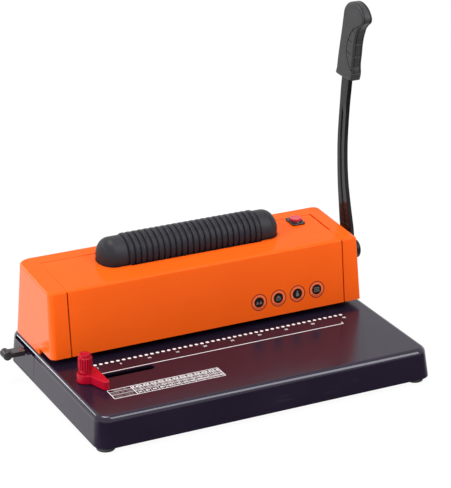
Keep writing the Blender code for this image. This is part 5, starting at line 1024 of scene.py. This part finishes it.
closed = [GRIP_OUTLINE[-1]] + GRIP_OUTLINE + GRIP_OUTLINE[:2]
grip_outline = at_hinge(smooth_line(closed, 3)[3:-4])
grip = drawn_out(grip_outline, "X", grip_low.x, grip_high.x, rounding=GRIP_ROUNDING, steps=4)
cutters = []
for finger_z in FINGER_LINES:
    front = min((abs(z - finger_z), y) for y, z in smooth_line(GRIP_OUTLINE[FRONT_START:], 6))[1]
    line_y, line_z = at_hinge([(front - FINGER_REACH, finger_z)])[0]
    cutters.append(turned(rectangle(0, FINGER_GROOVE, grip_low.x - OVER, grip_high.x + OVER), "X",
                          (0, line_y, line_z), 12))
for outline in ([band(at_hinge(smooth_line(INSET_LINE, 4)), INSET_WIDTH)]
                + [band(at_hinge(notch), NOTCH_WIDTH) for notch in NOTCHES]):
    cutters.append(drawn_out(outline, "X", grip_low.x - OVER, grip_low.x + INSET_DEPTH))
    cutters.append(drawn_out(outline, "X", grip_high.x - INSET_DEPTH, grip_high.x + OVER))
inner_outline = offset_line(grip_outline, GRIP_SEAM, cyclic=True)
(room_y0, room_z0), (room_y1, room_z1) = SEAM_ROOM
for seam_x in (grip_low.x + GRIP_SEAM_PLACE, grip_high.x - GRIP_SEAM_PLACE):
    seam_room = block((seam_x - SEAM_HALF, hinge.y + room_y0, hinge.z + room_z0),
                      (seam_x + SEAM_HALF, hinge.y + room_y1, hinge.z + room_z1))
    cutters.append(carved(seam_room, drawn_out(inner_outline, "X", grip_low.x - OVER, grip_high.x + OVER)))
grip = carved(grip, *cutters)
dressed(grip, "waved_grip", "lever", grip_plastic, "grip_plastic", "lever_grip", crease=50.0)

BOSS_EDGE, BOSS_DISH, BOSS_DISH_DEPTH = 0.0022, 0.0060, 0.0006
hub_black = plastic("hub_black", (0.008, 0.007, 0.009), (0.011, 0.010, 0.012), (0.05, 0.05, 0.05),
                    0.28, 0.38, grain=1200.0, lift=0.00002, specular=0.15)
painted(hub_black, "lever_hub")
boss_low, boss_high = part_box("lever_boss")
boss_radius = (boss_high.y - boss_low.y) / 2
boss = turned([(0, boss_high.x - BOSS_DISH_DEPTH), (BOSS_DISH, boss_high.x - BOSS_DISH_DEPTH),
               (BOSS_DISH + BOSS_DISH_DEPTH, boss_high.x)]
              + arc((boss_radius - BOSS_EDGE, boss_high.x - BOSS_EDGE), BOSS_EDGE, 90, 0, 6)
              + [(boss_radius, boss_low.x), (0, boss_low.x)], "X", hinge, 56)
dressed(boss, "round_boss", "lever", hub_black, "black_plastic", "lever_boss")

# Side guide. A red moulded stop slides in the deck's slot, and a fluted knob on a stud
# clamps it where the paper's edge has to be.
GUIDE_HEAD, GUIDE_EDGE, STOP_FURTHER, STOP_CORNER = 0.0088, 0.0009, 0.0018, 0.003
KEY_HALF, KEY_LAP = (0.0045, 0.0027), 0.002
guide_red = plastic("gloss_red_moulding", (0.40, 0.002, 0.018), (0.36, 0.002, 0.015), (0.60, 0.06, 0.07),
                    0.18, 0.28, grain=900.0, lift=0.00001, specular=0.2)
guide_low, guide_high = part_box("side_guide")
knob_x, knob_y = middle_of("guide_knob").xy
stop_x, corner_y = guide_high.x + STOP_FURTHER, guide_low.y + STOP_CORNER
guide_outline = [(stop_x, corner_y), (stop_x, knob_y + 0.0086)]
guide_outline += arc((knob_x, knob_y), GUIDE_HEAD, 80, 250, 24)
guide_outline.append((stop_x - 0.0122, knob_y - 0.0105))
guide_outline += arc((stop_x - 0.0040, corner_y), STOP_CORNER, 180, 270, 8)
guide_outline += arc((stop_x - STOP_CORNER, corner_y), STOP_CORNER, 270, 360, 8)[:-1]
guide = drawn_out(guide_outline, "Z", deck_z + GAP, guide_high.z, rounding=GUIDE_EDGE)
guide_key = block((knob_x - KEY_HALF[0], knob_y - KEY_HALF[1], guide_low.z),
                  (knob_x + KEY_HALF[0], knob_y + KEY_HALF[1], deck_z + KEY_LAP))
dressed(carved(guide, guide_key, operation="UNION"), "paper_side_stop", "guide", guide_red, "red_plastic",
        "side_guide")

KNOB_RADIUS, KNOB_SHOULDER = 0.0073, 0.0655
CROWN_RADIUS, CROWN_TOP = 0.0057, 0.0688
FLUTES, FLUTE_DEPTH, FLUTE_STEPS = 18, 0.0011, 8
NECK_RADIUS, NECK_HEIGHT = 0.0058, 0.0036
STUD_RADIUS, STUD_LAP = 0.0022, 0.001
knob_foot = guide_high.z + GAP
skirt = knob_foot + NECK_HEIGHT
layers = [(NECK_RADIUS, knob_foot, 0.0), (NECK_RADIUS, skirt, 0.0), (KNOB_RADIUS - 0.0006, skirt, 0.0),
          (KNOB_RADIUS, skirt + 0.0005, 0.6), (KNOB_RADIUS, skirt + 0.0012, 1.0),
          (KNOB_RADIUS, KNOB_SHOULDER - 0.0020, 1.0), (KNOB_RADIUS, KNOB_SHOULDER - 0.0009, 0.5),
          (KNOB_RADIUS - 0.0004, KNOB_SHOULDER - 0.0002, 0.0), (KNOB_RADIUS - 0.0009, KNOB_SHOULDER, 0.0),
          (CROWN_RADIUS + 0.0002, KNOB_SHOULDER, 0.0), (CROWN_RADIUS, KNOB_SHOULDER + 0.0003, 0.0),
          (CROWN_RADIUS, CROWN_TOP - 0.0007, 0.0), (CROWN_RADIUS - 0.0003, CROWN_TOP - 0.0001, 0.0),
          (CROWN_RADIUS - 0.0008, CROWN_TOP, 0.0), (CROWN_RADIUS - 0.0020, CROWN_TOP, 0.0),
          (CROWN_RADIUS - 0.0024, CROWN_TOP - 0.0005, 0.0)]
turns = [2 * pi * i / (FLUTES * FLUTE_STEPS) for i in range(FLUTES * FLUTE_STEPS)]
rings = []
for radius, z, fluted in layers:
    sunk = [radius - FLUTE_DEPTH * fluted * ((1 - cos(FLUTES * turn)) / 2) ** 2 for turn in turns]
    rings.append([(knob_x + r * cos(turn), knob_y + r * sin(turn), z) for r, turn in zip(sunk, turns)])
stud = turned(rectangle(0, STUD_RADIUS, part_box("guide_knob")[0].z, knob_foot + STUD_LAP), "Z",
              (knob_x, knob_y, 0), 24)
knob = carved(lofted("knob", rings), stud, operation="UNION")
dressed(knob, "fluted_knob", "clamp_knob", guide_red, "red_plastic", "guide_knob", crease=50.0)

# Printing. White ink on the deck: a dot for each hole with plain numbers, the line for the
# paper's edge, and a table of plain numbers.
INK, INK_LIFT, BOLD = 0.00005, 0.00002, 0.016
DOTS, DOT_RADIUS, DOT_PITCH = 46, 0.0019, 0.00635
FIRST_X, DOTS_Y = -0.1363, -0.00685
NUMERALS_Y, NUMERAL_SIZE = -0.0146, 0.0042
LINE_LEFT, LINE_RIGHT, LINE_Y, LINE_HALF = -0.1470, 0.1412, -0.02785, 0.0005
TICK_HALF, TICK_TOP = 0.0004, 0.0045
ink_low = deck_z + INK_LIFT


def ink(name, colour, cloud_colour, scuff_colour, roughness, dull, specular=0.15):
    return plastic(name, colour, cloud_colour, scuff_colour, roughness, dull, grain=1500.0, lift=0.00001,
                   specular=specular)


def as_one(name, objects, finish):
    """Several prints as one piece of the machine."""
    work = bmesh.new()
    for obj in objects:
        work.from_mesh(obj.data)
        bpy.data.objects.remove(obj)
    dressed(made_of(work, name), name, "machine", finish, None)


def numeral(text, x, y, size, level=0):
    """A plain number printed flat on the deck, on a level of ink."""
    data = bpy.data.curves.new("numeral", "FONT")
    data.body = str(text)
    data.size = size
    data.align_x = data.align_y = "CENTER"
    data.extrude = INK / 2
    data.offset = BOLD * size
    data.resolution_u = 3
    obj = shown("numeral", data)
    obj.matrix_world = Matrix.Translation((x, y, ink_low + INK / 2 + level * (INK + INK_LIFT)))
    return settled(obj)


def printed_bars(name, boxes, finish):
    """Thin printed bars, each (x0, x1, y0, y1), as one piece."""
    as_one(name, [block((x0, y0, ink_low), (x1, y1, ink_low + INK)) for x0, x1, y0, y1 in boxes], finish)


white_ink = ink("white_ink", (0.80, 0.80, 0.80), (0.74, 0.74, 0.74), (0.60, 0.58, 0.58), 0.4, 0.5, 0.5)
grey_ink = ink("grey_ink", (0.16, 0.15, 0.16), (0.13, 0.12, 0.13), (0.3, 0.28, 0.28), 0.35, 0.45, 0.5)
dot = drawn_out(circle(DOT_RADIUS, steps=24), "Z", ink_low, ink_low + INK)
dots = at_each("printed_dots", [(FIRST_X + i * DOT_PITCH, DOTS_Y, 0) for i in range(DOTS)], dot, white_ink)
dressed(dots, "printed_dots", "machine", white_ink, None)
as_one("hole_numbers", [numeral(n, FIRST_X + (n - 1) * DOT_PITCH, NUMERALS_Y, NUMERAL_SIZE)
                        for n in (1, 5, 10, 15, 20, 25, 30, 35, 40, 46)], white_ink)
printed_bars("paper_edge_line", [(LINE_LEFT, LINE_RIGHT, LINE_Y - LINE_HALF, LINE_Y + LINE_HALF),
                                 (LINE_RIGHT - TICK_HALF, LINE_RIGHT + TICK_HALF, LINE_Y - LINE_HALF,
                                  LINE_Y + TICK_TOP)], white_ink)

TABLE_X0, TABLE_X1, TABLE_Y0, TABLE_Y1 = -0.1490, -0.0274, -0.0865, -0.0668
HALF_LINE, HALF_FRAME = 0.00025, 0.0004
COLUMNS, HEAD_WIDTH = 12, 0.0250
ROW_SHARES = (0.0, 0.40, 0.74, 1.0)
HEAD_PRINT = ((0, 0.10, 0.44), (0, 0.50, 0.90), (1, 0.06, 0.40), (1, 0.46, 0.62), (1, 0.68, 0.94),
              (2, 0.22, 0.58), (2, 0.64, 0.80))
TINT_HALF, TINT_SHARES = 0.0006, (0.26, 0.62)
rows_y = [TABLE_Y0 + (TABLE_Y1 - TABLE_Y0) * share for share in ROW_SHARES]
column = (TABLE_X1 - TABLE_X0 - HEAD_WIDTH) / COLUMNS
table_bars = [(TABLE_X0, TABLE_X1, y - half, y + half)
              for y, half in zip(rows_y, (HALF_FRAME, HALF_LINE, HALF_LINE, HALF_FRAME))]
for i in range(COLUMNS + 2):
    half = HALF_FRAME if i in (0, 1, COLUMNS + 1) else HALF_LINE
    x = TABLE_X0 + (i > 0) * HEAD_WIDTH + max(i - 1, 0) * column
    table_bars += [(x - half, x + half, low + HALF_FRAME, high - HALF_FRAME)
                   for low, high in zip(rows_y, rows_y[1:])]
printed_bars("coil_size_table", table_bars, white_ink)
tints = []
for row, start, end in HEAD_PRINT:
    for share in TINT_SHARES:
        y = rows_y[row] + (rows_y[row + 1] - rows_y[row]) * share
        tints.append((TABLE_X0 + HEAD_WIDTH * start, TABLE_X0 + HEAD_WIDTH * end,
                      y - TINT_HALF, y + TINT_HALF))
printed_bars("coil_size_tints", tints, grey_ink)
size_blocks, numbers, block_numbers = [], [], []
low_row, middle_row, upper_row = ((low + high) / 2 for low, high in zip(rows_y, rows_y[1:]))
for i in range(COLUMNS):
    x = TABLE_X0 + HEAD_WIDTH + i * column
    for half in (0, 1):
        start = x + column * half / 2 + 0.0010
        size_blocks.append((start, start + column / 2 - 0.0020, upper_row - 0.0020, upper_row + 0.0009))
        block_numbers.append(numeral(6 + 2 * (2 * i + half), start + column / 4 - 0.0010, upper_row - 0.0006,
                                     0.0019, 1))
        numbers += [numeral(110 + 5 * (4 * i + 2 * line + half), x + column * (0.27 + 0.46 * half),
                            middle_row + 0.0015 - 0.0030 * line, 0.0022) for line in (0, 1)]
    numbers.append(numeral(20 * (i + 1), x + column / 2, low_row, 0.0046))
printed_bars("size_blocks", size_blocks, white_ink)
as_one("coil_size_numbers", numbers, white_ink)
as_one("size_block_numbers", block_numbers, grey_ink)

# Badges. The front has four, each a dark ring, a pale band with dashes in its lower half and a
# dark middle with a generic sign: peaks, a roof, a ball on a block and a stack of bars.
BADGES = ((0.0599, 0.0632), (0.0829, 0.0638), (0.1058, 0.0645), (0.1292, 0.0650))
RING_RADII, FILL_RADII, DISC_RADIUS = (0.0093, 0.0082), (0.0082, 0.0060), 0.0056
DASH_RADIUS, DASH_HALF, DASH_WIDE = 0.0071, 0.0004, 0.0006
ring_ink = ink("dark_red_ink", (0.24, 0.012, 0.004), (0.20, 0.010, 0.003), (0.4, 0.05, 0.02), 0.3, 0.4)
fill_ink = ink("pale_orange_ink", (0.76, 0.155, 0.055), (0.72, 0.14, 0.05), (0.8, 0.24, 0.1), 0.2, 0.3, 0.12)
disc_ink = ink("dark_ink", (0.004, 0.002, 0.003), (0.006, 0.003, 0.004), (0.04, 0.03, 0.03), 0.3, 0.4)
sign_ink = ink("sign_ink", (0.15, 0.13, 0.13), (0.13, 0.11, 0.11), (0.2, 0.18, 0.18), 0.35, 0.45)


def on_front(badge, outline, level=0, holes=()):
    """A flat print on the leaning front, about a badge's middle and on a level of ink."""
    x, z = badge
    low = INK_LIFT + level * (INK + INK_LIFT)
    obj = drawn_out(outline, "Z", low, low + INK, holes=holes)
    obj.data.transform(Matrix.Translation((x, HOUSING_FOOT[2] + (z - deck_z) * front_slope, z))
                       @ Matrix.Rotation(pi / 2 - atan2(FRONT_LEAN, FRONT_RISE), 4, "X"))
    return obj


def dash(turn):
    """A dash below the middle, turned about it by degrees."""
    c, d = cos(radians(turn)), sin(radians(turn))
    return [(x * c - y * d, x * d + y * c) for x, y in rectangle(
        -DASH_WIDE, DASH_WIDE, -DASH_RADIUS - DASH_HALF, -DASH_RADIUS + DASH_HALF)]


for name, (outer, inner), finish in (("badge_rings", RING_RADII, ring_ink),
                                     ("badge_fills", FILL_RADII, fill_ink)):
    as_one(name, [on_front(badge, circle(outer), holes=[circle(inner)]) for badge in BADGES], finish)
as_one("badge_discs", [on_front(badge, circle(DISC_RADIUS)) for badge in BADGES], disc_ink)
as_one("badge_dashes", [on_front(badge, dash(turn), 1) for badge in BADGES for turn in range(-48, 51, 14)],
       ring_ink)
SIGNS = [
    [[(-0.0036, -0.0020), (-0.0002, -0.0020), (-0.0019, 0.0018)],
     [(0.0002, -0.0020), (0.0036, -0.0020), (0.0019, 0.0018)]],
    [[(-0.0034, 0.0002), (0.0034, 0.0002), (0.0, 0.0028)], rectangle(-0.0030, 0.0030, -0.0012, -0.0005),
     rectangle(-0.0030, 0.0030, -0.0026, -0.0019)],
    [circle(0.0011, 0.0, 0.0021, 16), rectangle(-0.0018, 0.0018, -0.0028, 0.0006)],
    [rectangle(-0.0034, 0.0034, y - 0.0005, y + 0.0005) for y in (-0.0019, 0.0, 0.0019)],
]
as_one("badge_signs", [on_front(badge, outline, 1) for badge, outlines in zip(BADGES, SIGNS)
                       for outline in outlines], sign_ink)
